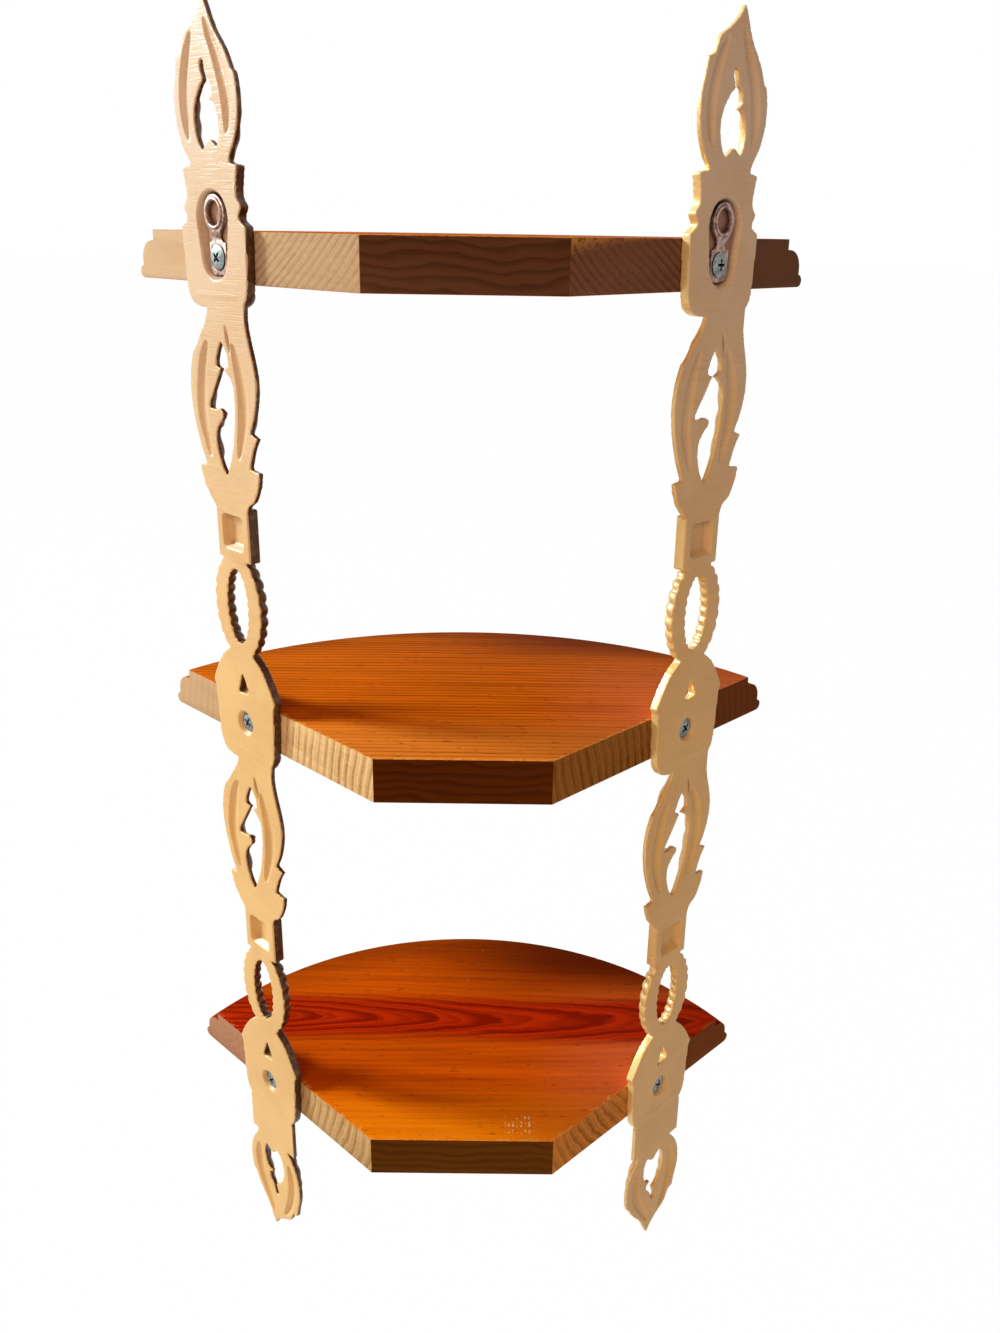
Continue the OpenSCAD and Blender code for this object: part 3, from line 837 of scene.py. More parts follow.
    def tail_piece(self, y: float) -> Piece:
        """Make the plain tail below the bottom board, down from height y."""
        half = self.tail[0] / 2
        low = y - self.tail[1] - self.over
        high = y + self.over
        corners = ((-half, low), (half, low), (half, high), (-half, high))
        return plate([Vector(corner) for corner in corners], 0, self.web_t)


@dataclass
class Board:
    """A moulded corner board, with its edges eased as by sanding."""

    level: Level
    ease: float = 0.45 * MM

    def build(self) -> Piece:
        """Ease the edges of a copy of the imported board."""
        board = cad_copy(f"shelf_{self.level.name.lower()}", f"board_{self.level.name.lower()}")
        apply_modifier(
            board, "BEVEL", width=self.ease, segments=2, limit_method="ANGLE", angle_limit=CORNER_ANGLE,
            use_clamp_overlap=True,
        )
        activate(board)
        bpy.ops.object.shade_smooth_by_angle(angle=SOFT_ANGLE)
        return board


@dataclass
class Hanger:
    """The stamped strap for a wall hook, with a rolled rim round its eye. Lengths in millimetres."""

    layout: Layout
    side: Side
    eye_y: float = 6.3
    eye_r: float = 4.5
    strap_back: float = 0.7
    rim_r: float = 0.6
    ease: float = 0.25 * MM

    def build(self) -> Piece:
        """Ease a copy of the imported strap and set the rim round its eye."""
        name = self.side.name.lower()
        strap = cad_copy(f"hanger_{name}", f"strap_{name}")
        apply_modifier(
            strap, "BEVEL", width=self.ease, segments=2, limit_method="ANGLE", angle_limit=CORNER_ANGLE
        )
        deselect()
        bpy.ops.mesh.primitive_torus_add(
            major_segments=64, minor_segments=12, major_radius=self.eye_r + self.rim_r,
            minor_radius=self.rim_r,
        )
        rim = bpy.context.object
        lift = Matrix.Translation((0, self.eye_y, self.strap_back + self.rim_r / 4))
        moved(rim, self.layout.on_wall(self.side) @ lift)
        hanger = joined([strap, rim])
        bpy.ops.object.shade_smooth_by_angle(angle=SOFT_ANGLE)
        return hanger


@dataclass
class Screw:
    """A cross-recessed wood screw, drawn along z from its domed top. Lengths in millimetres."""

    layout: Layout
    head_r: float = 4.6
    dome_h: float = 0.8
    cone_h: float = 2.2
    shank_r: float = 2.4
    length: float = 26.0
    thread_pitch: float = 1.6
    thread_h: float = 0.4
    tip_h: float = 4.8
    cross: tuple[float, float, float] = (5.4, 1.3, 1.8)

    def profile(self) -> list[Point]:
        """Draw the half outline, from the middle of the dome to the point."""
        r = self.head_r
        dome_r = (r**2 + self.dome_h**2) / (2 * self.dome_h)
        steps = 8
        radii = [r * i / steps for i in range(steps + 1)]
        points = [(x, dome_r - math.sqrt(dome_r**2 - x**2)) for x in radii]
        neck = self.dome_h + self.cone_h
        points.append((self.shank_r, neck))
        end = self.dome_h + self.length
        rings = int((end - neck) / self.thread_pitch * 6)
        for i in range(1, rings + 1):
            z = neck + (end - neck) * i / rings
            points.append((self.shank_r * min(1.0, (end - z) / self.tip_h + 0.12), z))
        return points + [(0, end)]

    def model(self) -> Piece:
        """Spin the outline, cut the thread's helix in the shank and sink the cross in the head."""
        screw = turned(self.profile())
        start = self.dome_h + self.cone_h + self.thread_pitch
        for vertex in screw.data.vertices:
            flat = math.hypot(vertex.co.x, vertex.co.y)
            if vertex.co.z > start and flat > 1e-3:
                phase = FULL_TURN * vertex.co.z / self.thread_pitch - math.atan2(vertex.co.y, vertex.co.x)
                cut = self.thread_h * (0.5 - 0.5 * math.cos(phase)) * min(1.0, flat / self.shank_r)
                vertex.co.x *= 1 - cut / flat
                vertex.co.y *= 1 - cut / flat
        span, slot_w, depth = self.cross
        for width, height in ((span, slot_w), (slot_w, span)):
            deselect()
            bpy.ops.mesh.primitive_cube_add(size=1)
            blade = bpy.context.object
            blade.scale = (width, height, 2 * depth)
            bpy.ops.object.transform_apply(location=True, rotation=True, scale=True)
            cut_away(screw, narrowed(blade, depth, 0.7))
        activate(screw)
        bpy.ops.object.shade_smooth_by_angle(angle=math.radians(30))
        return screw

    def build(self, side: Side, level: Level, turn: float, like: Piece) -> Piece:
        """Drive a copy of the screw into its hole.

        Args:
            side: the wall.
            level: the board.
            turn: how far its cross is turned, in degrees.
            like: the modelled screw.

        Returns:
            The placed screw.
        """
        node = f"screw_{level.name.lower()}_{side.name.lower()}"
        wall = self.layout.on_wall(side)
        low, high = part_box(node)
        drop = (self.layout.tops[0] - (low.z + high.z) / 2) / MM
        back = max(side.value * v.co.x + v.co.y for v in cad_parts[node].data.vertices)
        sunk = (self.layout.wall_y - back) * math.cos(WALL_TURN) / MM
        spin = Matrix.Rotation(math.radians(turn), 4, "Z")
        return moved(own_copy(like), wall @ Matrix.Translation((0, -drop, sunk)) @ spin)


class Graph:
    """A material's node tree, built by short calls."""

    def __init__(self, name: str) -> None:
        """Start a material that has only its shader and output.

        Args:
            name: the material's name.
        """
        self.material = bpy.data.materials.new(name)
        self.material.use_nodes = True
        self.tree = self.material.node_tree
        self.tree.nodes.clear()
        self.shader = self.tree.nodes.new("ShaderNodeBsdfPrincipled")
        output = self.tree.nodes.new("ShaderNodeOutputMaterial")
        self.tree.links.new(self.shader.outputs["BSDF"], output.inputs["Surface"])
        where = self.tree.nodes.new("ShaderNodeTexCoord")
        self.place = where.outputs["Object"]
        self.normal = where.outputs["Normal"]

    def put(self, socket: Socket, value: Value | Sequence[float]) -> None:
        """Link a socket to another one, or set its value."""
        if isinstance(value, Socket):
            self.tree.links.new(value, socket)
        else:
            socket.default_value = value

    def node(self, kind: str, **inputs: Value | Sequence[float]) -> bpy.types.Node:
        """Add a node, and link or set its inputs, which are named with _ for each space."""
        made = self.tree.nodes.new(f"ShaderNode{kind}")
        for name, value in inputs.items():
            self.put(made.inputs[name.replace("_", " ")], value)
        return made

    def math(self, operation: str, *values: Value) -> Socket:
        """Calculate with up to three values."""
        node = self.node("Math")
        node.operation = operation
        for socket, value in zip(node.inputs, values):
            self.put(socket, value)
        return node.outputs[0]

    def plus(self, *values: Value) -> Socket:
        """Add values up."""
        return reduce(lambda total, value: self.math("ADD", total, value), values)

    def times(self, *values: Value) -> Socket:
        """Multiply values."""
        return reduce(lambda total, value: self.math("MULTIPLY", total, value), values)

    def minus(self, value: Value, less: Value) -> Socket:
        """Take one value from another."""
        return self.math("SUBTRACT", value, less)

    @staticmethod
    def held(value: Socket) -> Socket:
        """Hold a calculated value between 0 and 1."""
        value.node.use_clamp = True
        return value

    def band(
        self, value: Value, start: float, end: float, low: float = 0.0, high: float = 1.0
    ) -> Socket:
        """Ease from low to high as value goes from start to end."""
        node = self.node("MapRange")
        node.interpolation_type = "SMOOTHSTEP"
        for socket, number in zip(node.inputs, (value, start, end, low, high)):
            self.put(socket, number)
        return node.outputs["Result"]

    def split(self, vector: Socket) -> tuple[Socket, ...]:
        """Split a vector into x, y and z."""
        return tuple(self.node("SeparateXYZ", Vector=vector).outputs)

    def stretched(self, scale: Sequence[float], shift: Sequence[float] = (0, 0, 0)) -> Socket:
        """Give the object coordinates, stretched and shifted."""
        return self.node("Mapping", Vector=self.place, Scale=scale, Location=shift).outputs[0]

    def noise(self, vector: Socket, scale: float, detail: float = 3, rough: float = 0.55) -> Socket:
        """Give a cloud of values round 0.5."""
        node = self.node("TexNoise", Vector=vector, Scale=scale, Detail=detail, Roughness=rough)
        return node.outputs["Fac"]

    def nearness(self, reach: float) -> Socket:
        """Give how much other surface stands round a point within reach metres, from 0 to 1."""
        node = self.node("AmbientOcclusion", Distance=reach)
        node.samples = 8
        return self.minus(1.0, node.outputs["AO"])

    def mix(self, share: Value, first: Socket | Colour, second: Socket | Colour) -> Socket:
        """Blend two colours by a share."""
        node = self.node("Mix")
        node.data_type = "RGBA"
        for index, value in zip(MIX_COLOUR_INPUTS, (share, first, second)):
            self.put(node.inputs[index], value)
        return node.outputs[MIX_COLOUR_OUTPUT]

    def relief(self, height: Value, depth: float, strength: float) -> None:
        """Give the shader a bump.

        Args:
            height: the height at each point, from 0 to 1.
            depth: what a height of 1 stands for, in metres.
            strength: how strongly it shows.
        """
        bump = self.node("Bump", Strength=strength, Distance=depth, Height=height)
        self.put(self.shader.inputs["Normal"], bump.outputs[0])

    def coat(self, **sockets: Value | Colour) -> None:
        """Link or set the shader's own sockets, named with _ for each space."""
        for name, value in sockets.items():
            self.put(self.shader.inputs[name.replace("_", " ")], value)


@dataclass(frozen=True)
class StainedWood:
    """Softwood that is stained and varnished on top, with its growth rings in the solid. Lengths in metres.

    Each pair of colours is the early and the late wood of a year. The rings are flat where pith is None, and
    then lie is their angle from upright. Otherwise they are round the pith, a line at pith's place along y
    and depth below the top, which slopes by lie along x."""

    name: str
    top: tuple[Colour, Colour]
    left_edge: tuple[Colour, Colour]
    right_edge: tuple[Colour, Colour]
    cut: tuple[Colour, Colour]
    lie: float
    pith: Point | None = None
    ring: float = 0.0034
    figure: float = 0.25
    shift: tuple[float, float, float] = (0.0, 0.0, 0.0)
    # Painted light: the brighter colour of the top near the cut.
    painted_light_near_cut: Colour = rgb(228, 134, 48)
    # Painted shade: the darker colour of the top's front part on the side at x < 0.
    painted_shade_far_right: Colour = rgb(118, 48, 22)
    # Painted sheen: a pale pinkish reflection laid on the top.
    painted_sheen: Colour = rgb(204, 104, 70)
    # A stain in the pores and on the moulded faces, also used as painted shade along the front edge.
    stain_and_shade: Colour = rgb(52, 18, 6)
    worn: Colour = rgb(228, 166, 88)
    heart: tuple[Colour, Colour] = (rgb(186, 38, 4), rgb(124, 8, 2))
    heart_half: float = 0.024
    waver: float = 0.0012
    scuffs: bool = False
    tips: tuple[Colour, Colour] = (rgb(204, 170, 138), rgb(116, 80, 64))
    scratch: Colour = rgb(250, 226, 180)
    painted_light_y: Point = (0.008, 0.040)
    painted_shade_spot: tuple[Point, Point] = ((0.05, -0.06), (-0.045, -0.085))
    painted_sheen_spot: tuple[Point, Point] = ((-0.02, -0.10), (-0.08, -0.02))
    behind_stile: Point = (0.088, 0.106)
    front_curve: float = 2.6
    front_shade: Point = (0.012, 0.05)
    saw_pitch: float = 0.0042
    chip_reach: float = 0.0026
    scuff_at: Point = (-0.026, 0.040)
    scuff_pitch: Point = (0.0019, 0.0052)

    def rings(self, g: "Graph", top_z: float, wander: Value) -> Socket:
        """Give the distance across the growth rings.

        Args:
            g: the material.
            top_z: the height of the board's top face.
            wander: how far the rings stray, in metres.

        Returns:
            The distance, in metres.
        """
        x, y, z = g.split(g.place)
        below = g.minus(top_z, z)
        if self.pith is None:
            across = g.plus(g.times(y, math.cos(self.lie)), g.times(below, math.sin(self.lie)))
            return g.plus(across, wander)
        off_y = g.minus(y, self.pith[0])
        off_z = g.plus(g.plus(below, self.pith[1]), g.times(x, self.lie))
        far = g.math("SQRT", g.plus(g.times(off_y, off_y), g.times(off_z, off_z)))
        return g.plus(far, wander)

    @staticmethod
    def late_wood(g: "Graph", years: Value) -> Socket:
        """Give 1 in the dark late wood of each year, and else 0."""
        part = g.math("FRACT", years)
        return g.times(g.band(part, 0.3, 0.84), g.band(part, 0.88, 1.0, 1.0, 0.0))

    def material(self, board: bpy.types.Mesh) -> bpy.types.Material:
        """Make the material.

        Args:
            board: the board's mesh, whose top face, wall edges and cut it measures.

        Returns:
            The material.
        """
        g = Graph(self.name)
        x, y, z = g.split(g.place)
        nx, ny, nz = g.split(g.normal)
        cloud = g.noise(g.stretched((4, 12, 12), self.shift), 1.0, 2)
        ripple = g.noise(g.stretched((40, 110, 110), self.shift), 1.0, 3)
        wander = g.plus(g.times(cloud, 0.012), g.times(ripple, self.waver))
        years = g.math("DIVIDE", self.rings(g, max(v.co.z for v in board.vertices), wander), self.ring)
        fine_late = g.times(self.late_wood(g, g.times(years, 2.37)), 0.5)
        late = g.math("MAXIMUM", self.late_wood(g, years), fine_late)
        fibre = g.noise(g.stretched((18, 620, 620), self.shift), 1.0, 4, 0.7)
        patch = g.noise(g.stretched((7, 30, 30), self.shift), 1.0, 4, 0.6)
        streak = g.noise(g.stretched((5, 190, 190), self.shift), 1.0, 3, 0.6)
        pore = g.band(g.noise(g.stretched((160, 760, 760), self.shift), 1.0, 1), 0.66, 0.76)
        tone = g.plus(g.times(late, self.figure), g.times(fibre, 0.44))
        tone = g.plus(tone, g.times(g.minus(patch, 0.5), 0.9))
        tone = g.held(g.plus(tone, g.times(g.minus(streak, 0.5), 0.9)))
        stained = g.mix(tone, *self.top)
        # Painted light: the top turns brighter towards the cut, least where the grain is dark.
        lit = g.times(g.band(y, *self.painted_light_y), g.minus(1.0, g.times(tone, 0.9)))
        stained = g.mix(lit, stained, self.painted_light_near_cut)
        # Painted shade: the top darkens towards its front on the side at x < 0.
        far_shade = g.times(g.band(x, *self.painted_shade_spot[0]), g.band(y, *self.painted_shade_spot[1]))
        stained = g.mix(g.times(far_shade, 0.85), stained, self.painted_shade_far_right)
        # Painted sheen: a pinkish reflection on the top, at x < 0 and towards the wall.
        sheen = g.times(g.band(x, *self.painted_sheen_spot[0]), g.band(y, *self.painted_sheen_spot[1], 0.0, 0.55))
        stained = g.mix(sheen, stained, self.painted_sheen)
        if self.pith is not None:
            away = g.math("ABSOLUTE", g.minus(y, self.pith[0]))
            away = g.plus(away, g.times(g.minus(patch, 0.5), 0.02))
            near = g.band(away, self.heart_half * 0.45, self.heart_half, 0.92, 0.0)
            stained = g.mix(near, stained, g.mix(g.plus(late, g.times(fibre, 0.2)), *self.heart))
        stained = g.mix(g.times(pore, 0.6), stained, self.stain_and_shade)
        if self.scuffs:
            stained = g.mix(self.scuffed(g), stained, self.scratch)
        front = g.times(x, x, self.front_curve)
        rim = g.minus(y, g.plus(front, CAD_BOX[0][1]))
        # Painted shade: the top darkens towards its curved front edge.
        stained = g.mix(g.band(rim, *self.front_shade, 0.45, 0.0), stained, self.stain_and_shade)
        edge_tone = g.times(late, g.band(patch, 0.3, 0.7, 0.3, 0.9))
        edge_tone = g.plus(edge_tone, g.times(g.minus(fibre, 0.4), 0.9))
        out = g.math("ABSOLUTE", x)
        on_left = g.band(x, -SIDE_BLEND, SIDE_BLEND)
        raw = g.mix(on_left, g.mix(edge_tone, *self.right_edge), g.mix(edge_tone, *self.left_edge))
        tip = g.mix(on_left, self.tips[1], self.tips[0])
        raw = g.mix(g.band(out, *self.behind_stile, 0.0, 0.85), raw, tip)
        wave = g.times(g.noise(g.stretched((30, 1, 60), self.shift), 1.0, 2), 3.2)
        lines = self.late_wood(g, g.plus(g.math("DIVIDE", z, self.saw_pitch), wave))
        sawn_tone = g.plus(g.times(lines, 0.32), g.times(patch, 0.9))
        sawn = g.mix(g.held(g.minus(sawn_tone, 0.1)), *self.cut)
        moulded = g.band(g.math("ABSOLUTE", nz), 0.5, 0.9, 0.5, 0.0)
        wall_edge = g.times(g.band(ny, 0.35, 0.6), g.band(g.math("ABSOLUTE", nx), 0.35, 0.6))
        colour = g.mix(moulded, stained, self.stain_and_shade)
        colour = g.mix(wall_edge, colour, raw)
        colour = g.mix(g.band(ny, 0.85, 0.95), colour, sawn)
        wall_sum = max(v.co.y + abs(v.co.x) for v in board.vertices)
        off_wall = g.times(g.minus(wall_sum, g.plus(out, y)), 0.7)
        off_cut = g.minus(max(v.co.y for v in board.vertices), y)
        chips = g.noise(g.stretched((420, 420, 420), self.shift), 1.0, 3, 0.7)
        reach = g.times(g.band(chips, 0.44, 0.72), self.chip_reach)
        rubbed = g.math("LESS_THAN", g.math("MINIMUM", off_wall, off_cut), reach)
        rubbed = g.times(
            rubbed, g.band(nz, 0.25, 0.5, 0.0, 0.6), g.band(out, *self.behind_stile, 1.0, 0.25)
        )
        on_top = g.band(g.math("ABSOLUTE", nz), 0.55, 0.8)
        rough = g.plus(g.times(on_top, -0.22), g.times(fibre, 0.12), 0.58)
        g.coat(Base_Color=g.mix(rubbed, colour, self.worn), Roughness=rough, Specular_IOR_Level=0.001)
        grain = g.plus(g.times(fibre, 0.5), g.times(late, -0.1))
        g.relief(g.minus(grain, g.times(pore, 0.5)), 0.00014, 0.5)
        return g.material

    def scuffed(self, g: "Graph") -> Socket:
        """Give the share of pale scratches in the varnish: a comb of them near the cut, and stray flecks."""
        x, y, _ = g.split(g.place)
        teeth = g.band(g.math("FRACT", g.math("DIVIDE", x, self.scuff_pitch[0])), 0.50, 0.62)
        rows = g.band(g.math("FRACT", g.math("DIVIDE", y, self.scuff_pitch[1])), 0.30, 0.42)
        kept = g.band(g.noise(g.place, 380, 3), 0.48, 0.58, 0.0, 0.8)
        comb = g.times(teeth, rows, kept)
        along = g.band(g.math("ABSOLUTE", g.minus(x, self.scuff_at[0])), 0.004, 0.008, 1.0, 0.0)
        across = g.band(g.math("ABSOLUTE", g.minus(y, self.scuff_at[1])), 0.003, 0.007, 1.0, 0.0)
        fleck = g.band(g.noise(g.stretched((260, 520, 100), (0.4, 0.2, 0.0)), 1.0, 1), 0.82, 0.86, 0.0, 0.6)
        return g.math("MAXIMUM", g.times(comb, g.times(along, across)), fleck)


@dataclass(frozen=True)
class GiltPlastic:
    """Gold paint on a cast moulding: bright on the edges and the face, matte and tan on the back."""

    name: str = "gilt_plastic"
    back: Colour = rgb(228, 182, 114)
    # Painted light: the paler tint of the back near the top.
    painted_pale_top: Colour = rgb(214, 184, 156)
    back_dark: Colour = rgb(198, 144, 86)
    # Painted shade in hollows and recesses.
    crevice_shade: Colour = rgb(112, 78, 66)
    # Painted shade in the top pocket.
    pocket: Colour = rgb(148, 104, 88)
    gold: Colour = rgb(240, 206, 138)
    # Painted shade: the dark brown of the gold walls that face towards -x.
    painted_shade_gold: Colour = rgb(78, 46, 22)

    def material(self, wall_y: float) -> bpy.types.Material:
        """Make the material.

        Args:
            wall_y: where the two walls' planes meet along y.

        Returns:
            The material.
        """
        g = Graph(self.name)
        x, y, z = g.split(g.place)
        nx, ny, _ = g.split(g.normal)
        off_wall = g.minus(wall_y, g.plus(g.math("ABSOLUTE", x), y))
        sunk = g.times(g.band(off_wall, 0.0024, 0.0038), g.band(z, -0.050, -0.040))
        to_wall = g.plus(g.times(nx, g.math("SIGN", x)), ny)
        edge = g.band(g.times(to_wall, math.cos(WALL_TURN)), 0.12, 0.4, 1.0, 0.0)
        speckle = g.noise(g.place, 1500, 3, 0.6)
        fine = g.noise(g.place, 420, 3, 0.6)
        cloud = g.noise(g.place, 36, 3, 0.55)
        brushed = g.noise(g.stretched((70, 70, 1500)), 1.0, 3, 0.6)
        streaks = g.times(g.band(brushed, 0.46, 0.70), g.band(cloud, 0.35, 0.65, 0.2, 1.0))
        # Painted light: the bare back turns paler towards the top.
        bare = g.mix(g.band(z, 0.03, -0.22), self.painted_pale_top, self.back)
        bare = g.mix(g.band(cloud, 0.3, 0.75, 0.0, 0.3), bare, self.back_dark)
        bare = g.mix(g.times(streaks, 0.3), bare, self.back_dark)
        # Painted shade: the top pocket is darkened, more on the stile at x < 0 than on the one at x > 0.
        bare = g.mix(g.times(sunk, g.band(x, -0.001, 0.001, 0.95, 0.5)), bare, self.pocket)
        # Painted shade: the back darkens where other surface stands close round it, in hollows and recesses.
        bare = g.mix(g.band(g.nearness(0.004), 0.12, 0.6, 0.0, 0.9), bare, self.crevice_shade)
        # Painted shade: the gold on walls that face towards -x, but not those that face mostly towards -y,
        # turns dark brown, broken up by noise.
        painted_shade_side = g.times(g.band(nx, -0.25, 0.15, 1.0, 0.0), g.band(ny, -0.6, -0.2))
        painted_shade_side = g.held(g.plus(painted_shade_side, g.times(g.minus(fine, 0.5), 0.5)))
        gold = g.mix(painted_shade_side, self.gold, self.painted_shade_gold)
        rough = g.plus(g.times(edge, -0.1), g.times(fine, 0.1), 0.40)
        g.coat(
            Base_Color=g.mix(edge, bare, gold), Metallic=g.times(edge, 0.3), Roughness=rough,
            Specular_IOR_Level=0.42,
        )
        g.relief(g.plus(g.times(speckle, 0.25), g.times(streaks, -0.6)), 0.0002, 0.45)
        return g.material


@dataclass(frozen=True)
class PlatedSteel:
    """Plated steel with fine scratches and dull patches."""

    name: str
    bright: Colour
    dull: Colour
    roughness: float
    metallic: float = 0.9
    # Painted shade in recesses; the next value is how far it reaches.
    crevice_shade: Colour = rgb(34, 28, 26)
    painted_shade_reach: float = 0.0016

    def material(self) -> bpy.types.Material:
        """Make the material."""
        g = Graph(self.name)
        patch = g.noise(g.place, 420, 4, 0.65)
        scratch = g.noise(g.stretched((300, 300, 6000)), 1.0, 2)
        tone = g.band(g.plus(g.times(patch, 0.8), g.times(scratch, 0.2)), 0.35, 0.65)
        plated = g.mix(tone, self.dull, self.bright)
        # Painted shade: the plating darkens where other surface stands close round it, as in the cross.
        painted_shade_share = g.band(g.nearness(self.painted_shade_reach), 0.15, 0.6)
        rough = g.plus(g.times(patch, 0.3), self.roughness)
        g.coat(Base_Color=g.mix(painted_shade_share, plated, self.crevice_shade), Metallic=self.metallic, Roughness=rough)
        g.relief(g.plus(patch, g.times(scratch, 0.4)), 0.00006, 0.5)
        return g.material


@dataclass(frozen=True)
class Lamp:
    """A soft, square lamp that points at the shelf."""

    name: str
    place: tuple[float, float, float]
    size: float
    power: float
    colour: tuple[float, float, float] = (1.0, 1.0, 1.0)
    gloss_only: bool = False


@dataclass
class Studio:
    """The pale floor, the light and the camera, at the height and angle of the photograph."""

    eye: tuple[float, float, float] = (-0.01158, 0.47463, -0.00368)
    yaw: float = 0.32
    pitch: float = -20.49
    roll: float = 0.88
    focal_px: float = 1173.47
    sensor: float = 36.0
    aim: tuple[float, float, float] = (0.0, -0.02, -0.2)
    floor_gap: float = 0.25
    glow: float = 0.995
    sky: float = 0.27
    lamps: list[Lamp] = field(default_factory=lambda: [
        Lamp("key", (2.46, -0.64, 1.30), 0.55, 102.0, (0.84, 1.0, 1.0)),
        Lamp("sheen", (2.46, -0.64, 1.30), 0.55, 120.0, (0.9, 1.0, 1.0), gloss_only=True),
        Lamp("fill", (0.35, 1.35, 0.35), 0.9, 7.8, (1.0, 0.68, 0.42)),
    ])

    def camera(self) -> None:
        """Set the camera where the photograph was taken from."""
        data = bpy.data.cameras.new("camera")
        data.sensor_fit = "VERTICAL"
        data.sensor_height = self.sensor
        data.lens = self.focal_px * self.sensor / PHOTO_HEIGHT
        data.clip_start = 0.01
        yaw, pitch, roll = (math.radians(a) for a in (self.yaw, self.pitch, self.roll))
        ahead = Vector((-math.sin(yaw) * math.cos(pitch), -math.cos(yaw) * math.cos(pitch), math.sin(pitch)))
        level = Vector((-math.cos(yaw), math.sin(yaw), 0))
        above = level.cross(ahead)
        right = level * math.cos(roll) + above * math.sin(roll)
        up = above * math.cos(roll) - level * math.sin(roll)
        camera = bpy.data.objects.new("camera", data)
        bpy.context.scene.collection.objects.link(camera)
        turn = Matrix((right, up, -ahead)).transposed().to_4x4()
        camera.matrix_world = Matrix.Translation(self.eye) @ turn
        bpy.context.scene.camera = camera

    def light(self) -> None:
        """Hang the lamps and give the world a soft, even light, white where it is seen or reflected."""
        for lamp in self.lamps:
            data = bpy.data.lights.new(lamp.name, "AREA")
            data.size = lamp.size
            data.energy = lamp.power
            data.color = lamp.colour
            hung = bpy.data.objects.new(lamp.name, data)
            hung.visible_diffuse = not lamp.gloss_only
            bpy.context.scene.collection.objects.link(hung)
            to_shelf = Vector(self.aim) - Vector(lamp.place)
            turn = to_shelf.to_track_quat("-Z", "Y").to_matrix().to_4x4()
            hung.matrix_world = Matrix.Translation(lamp.place) @ turn
        world = bpy.data.worlds.new("room")
        world.use_nodes = True
        tree = world.node_tree
        soft = tree.nodes["Background"]
        soft.inputs["Strength"].default_value = self.sky
        white = tree.nodes.new("ShaderNodeBackground")
        chooser = tree.nodes.new("ShaderNodeMixShader")
        tree.links.new(self.seen_rays(tree), chooser.inputs[0])
        tree.links.new(soft.outputs[0], chooser.inputs[1])
        tree.links.new(white.outputs[0], chooser.inputs[2])
        tree.links.new(chooser.outputs[0], tree.nodes["World Output"].inputs["Surface"])
        soft.inputs["Color"].default_value = rgb(255, 230, 200)
        white.inputs["Color"].default_value = (1, 1, 1, 1)
        bpy.context.scene.world = world

    @staticmethod
    def seen_rays(tree: bpy.types.NodeTree) -> Socket:
        """Give 1 for the rays of the camera and of reflections, and else 0."""
        rays = tree.nodes.new("ShaderNodeLightPath")
        seen = tree.nodes.new("ShaderNodeMath")
        seen.operation = "ADD"
        seen.use_clamp = True
        tree.links.new(rays.outputs["Is Camera Ray"], seen.inputs[0])
        tree.links.new(rays.outputs["Is Glossy Ray"], seen.inputs[1])
        both = tree.nodes.new("ShaderNodeMath")
        both.operation = "ADD"
        both.use_clamp = True
        tree.links.new(seen.outputs[0], both.inputs[0])
        tree.links.new(rays.outputs["Is Transmission Ray"], both.inputs[1])
        return both.outputs[0]

    def floor(self) -> None:
        """Lay the floor below the shelf, pale enough to end in the white of the room."""
        deselect()
        bpy.ops.mesh.primitive_plane_add(size=60, location=(0, 0, CAD_BOX[0][2] - self.floor_gap))
        floor = bpy.context.object
        floor.name = "floor"
        g = Graph("pale_floor")
        g.coat(Base_Color=rgb(238, 238, 238), Roughness=0.9, Specular_IOR_Level=0.1)
        glow = g.tree.nodes.new("ShaderNodeEmission")
        glow.inputs["Color"].default_value = (1, 1, 1, 1)
        share = g.times(self.seen_rays(g.tree), self.glow)
        mixed = g.tree.nodes.new("ShaderNodeMixShader")
        output = next(n for n in g.tree.nodes if n.bl_idname == "ShaderNodeOutputMaterial")
        g.tree.links.new(share, mixed.inputs[0])
        g.tree.links.new(g.shader.outputs[0], mixed.inputs[1])
        g.tree.links.new(glow.outputs[0], mixed.inputs[2])
        g.tree.links.new(mixed.outputs[0], output.inputs["Surface"])
        floor.data.materials.append(g.material)


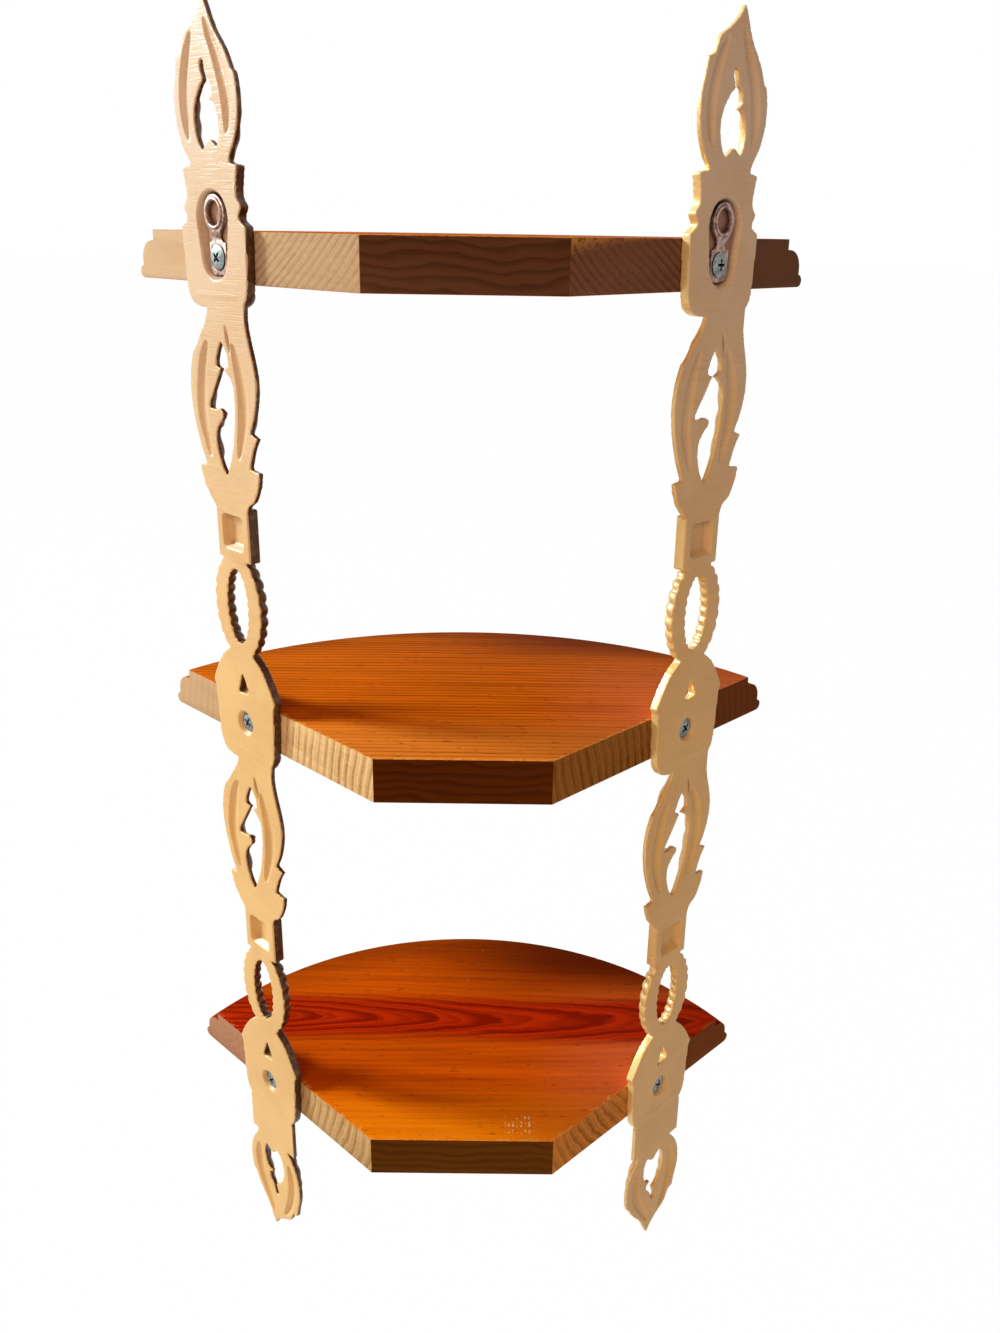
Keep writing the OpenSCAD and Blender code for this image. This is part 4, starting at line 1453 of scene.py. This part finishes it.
@dataclass
class Shelf:
    """The whole shelf."""

    layout: Layout

    def boards(self) -> None:
        """Make and dress the three boards."""
        finishes = {
            Level.TOP: StainedWood(
                "wood_top", (rgb(220, 106, 12), rgb(122, 44, 6)), (rgb(196, 162, 130), rgb(156, 120, 88)),
                (rgb(130, 88, 70), rgb(98, 60, 46)), (rgb(112, 70, 48), rgb(60, 34, 22)), math.radians(42),
                ring=0.0026,
            ),
            Level.MIDDLE: StainedWood(
                "wood_middle", (rgb(228, 110, 12), rgb(124, 46, 4)), (rgb(236, 196, 144), rgb(172, 120, 70)),
                (rgb(164, 106, 50), rgb(98, 56, 22)), (rgb(102, 48, 12), rgb(56, 22, 4)), math.radians(8),
                figure=0.42, shift=(0.31, 0.12, 0.4), tips=(rgb(186, 148, 116), rgb(112, 62, 36)),
            ),
            Level.BOTTOM: StainedWood(
                "wood_bottom", (rgb(218, 90, 4), rgb(130, 36, 2)), (rgb(206, 166, 118), rgb(152, 108, 62)),
                (rgb(222, 144, 72), rgb(154, 94, 40)), (rgb(112, 66, 22), rgb(68, 36, 12)), -0.103,
                pith=(-0.0375, 0.0135), ring=0.0036, figure=0.15, shift=(0.7, 0.5, 0.1),
                painted_light_near_cut=rgb(234, 126, 8), painted_shade_far_right=rgb(90, 22, 2), scuffs=True, waver=0.0026,
                tips=(rgb(166, 114, 92), rgb(112, 58, 38)),
            ),
        }
        for level, finish in finishes.items():
            node = f"shelf_{level.name.lower()}"
            board = Board(level).build()
            material = finish.material(board.data)
            finish_piece(board, f"board_{level.name.lower()}", "stained_wood", material, node)

    def stiles(self) -> None:
        """Make the moulding once, and hang it on both walls."""
        stile = Stile(self.layout)
        material = GiltPlastic().material(self.layout.wall_y)
        moulding = stile.model()
        for side in Side:
            name = f"stile_{side.name.lower()}"
            finish_piece(stile.build(side, moulding), f"gilt_{name}", "gilt_plastic", material, name)
        bpy.data.objects.remove(moulding)

    def fittings(self) -> None:
        """Make the hangers and the screws."""
        strap_zinc = PlatedSteel("zinc_strap", rgb(190, 162, 150), rgb(112, 84, 76), 0.40).material()
        screw_zinc = PlatedSteel("zinc_screw", rgb(160, 166, 164), rgb(96, 102, 100), 0.40, 0.8).material()
        screw = Screw(self.layout)
        model = screw.model()
        turns = {Level.TOP: (2, 42), Level.MIDDLE: (48, 30), Level.BOTTOM: (20, 55)}
        for index, side in enumerate(Side):
            name = side.name.lower()
            hanger = Hanger(self.layout, side).build()
            finish_piece(hanger, f"strap_hanger_{name}", "zinc_strap", strap_zinc, f"hanger_{name}")
            for level in Level:
                node = f"screw_{level.name.lower()}_{name}"
                driven = screw.build(side, level, turns[level][index], model)
                finish_piece(driven, f"wood_{node}", "zinc_screw", screw_zinc, node)
        bpy.data.objects.remove(model)


def main() -> None:
    """Build the shelf and its studio."""
    logging.basicConfig(level=logging.INFO, format="%(message)s")
    bpy.context.scene.view_settings.view_transform = "Standard"
    studio = Studio()
    studio.camera()
    studio.light()
    studio.floor()
    shelf = Shelf(Layout.measured())
    shelf.boards()
    shelf.stiles()
    shelf.fittings()
    deselect()


if __name__ == "__main__":
    main()
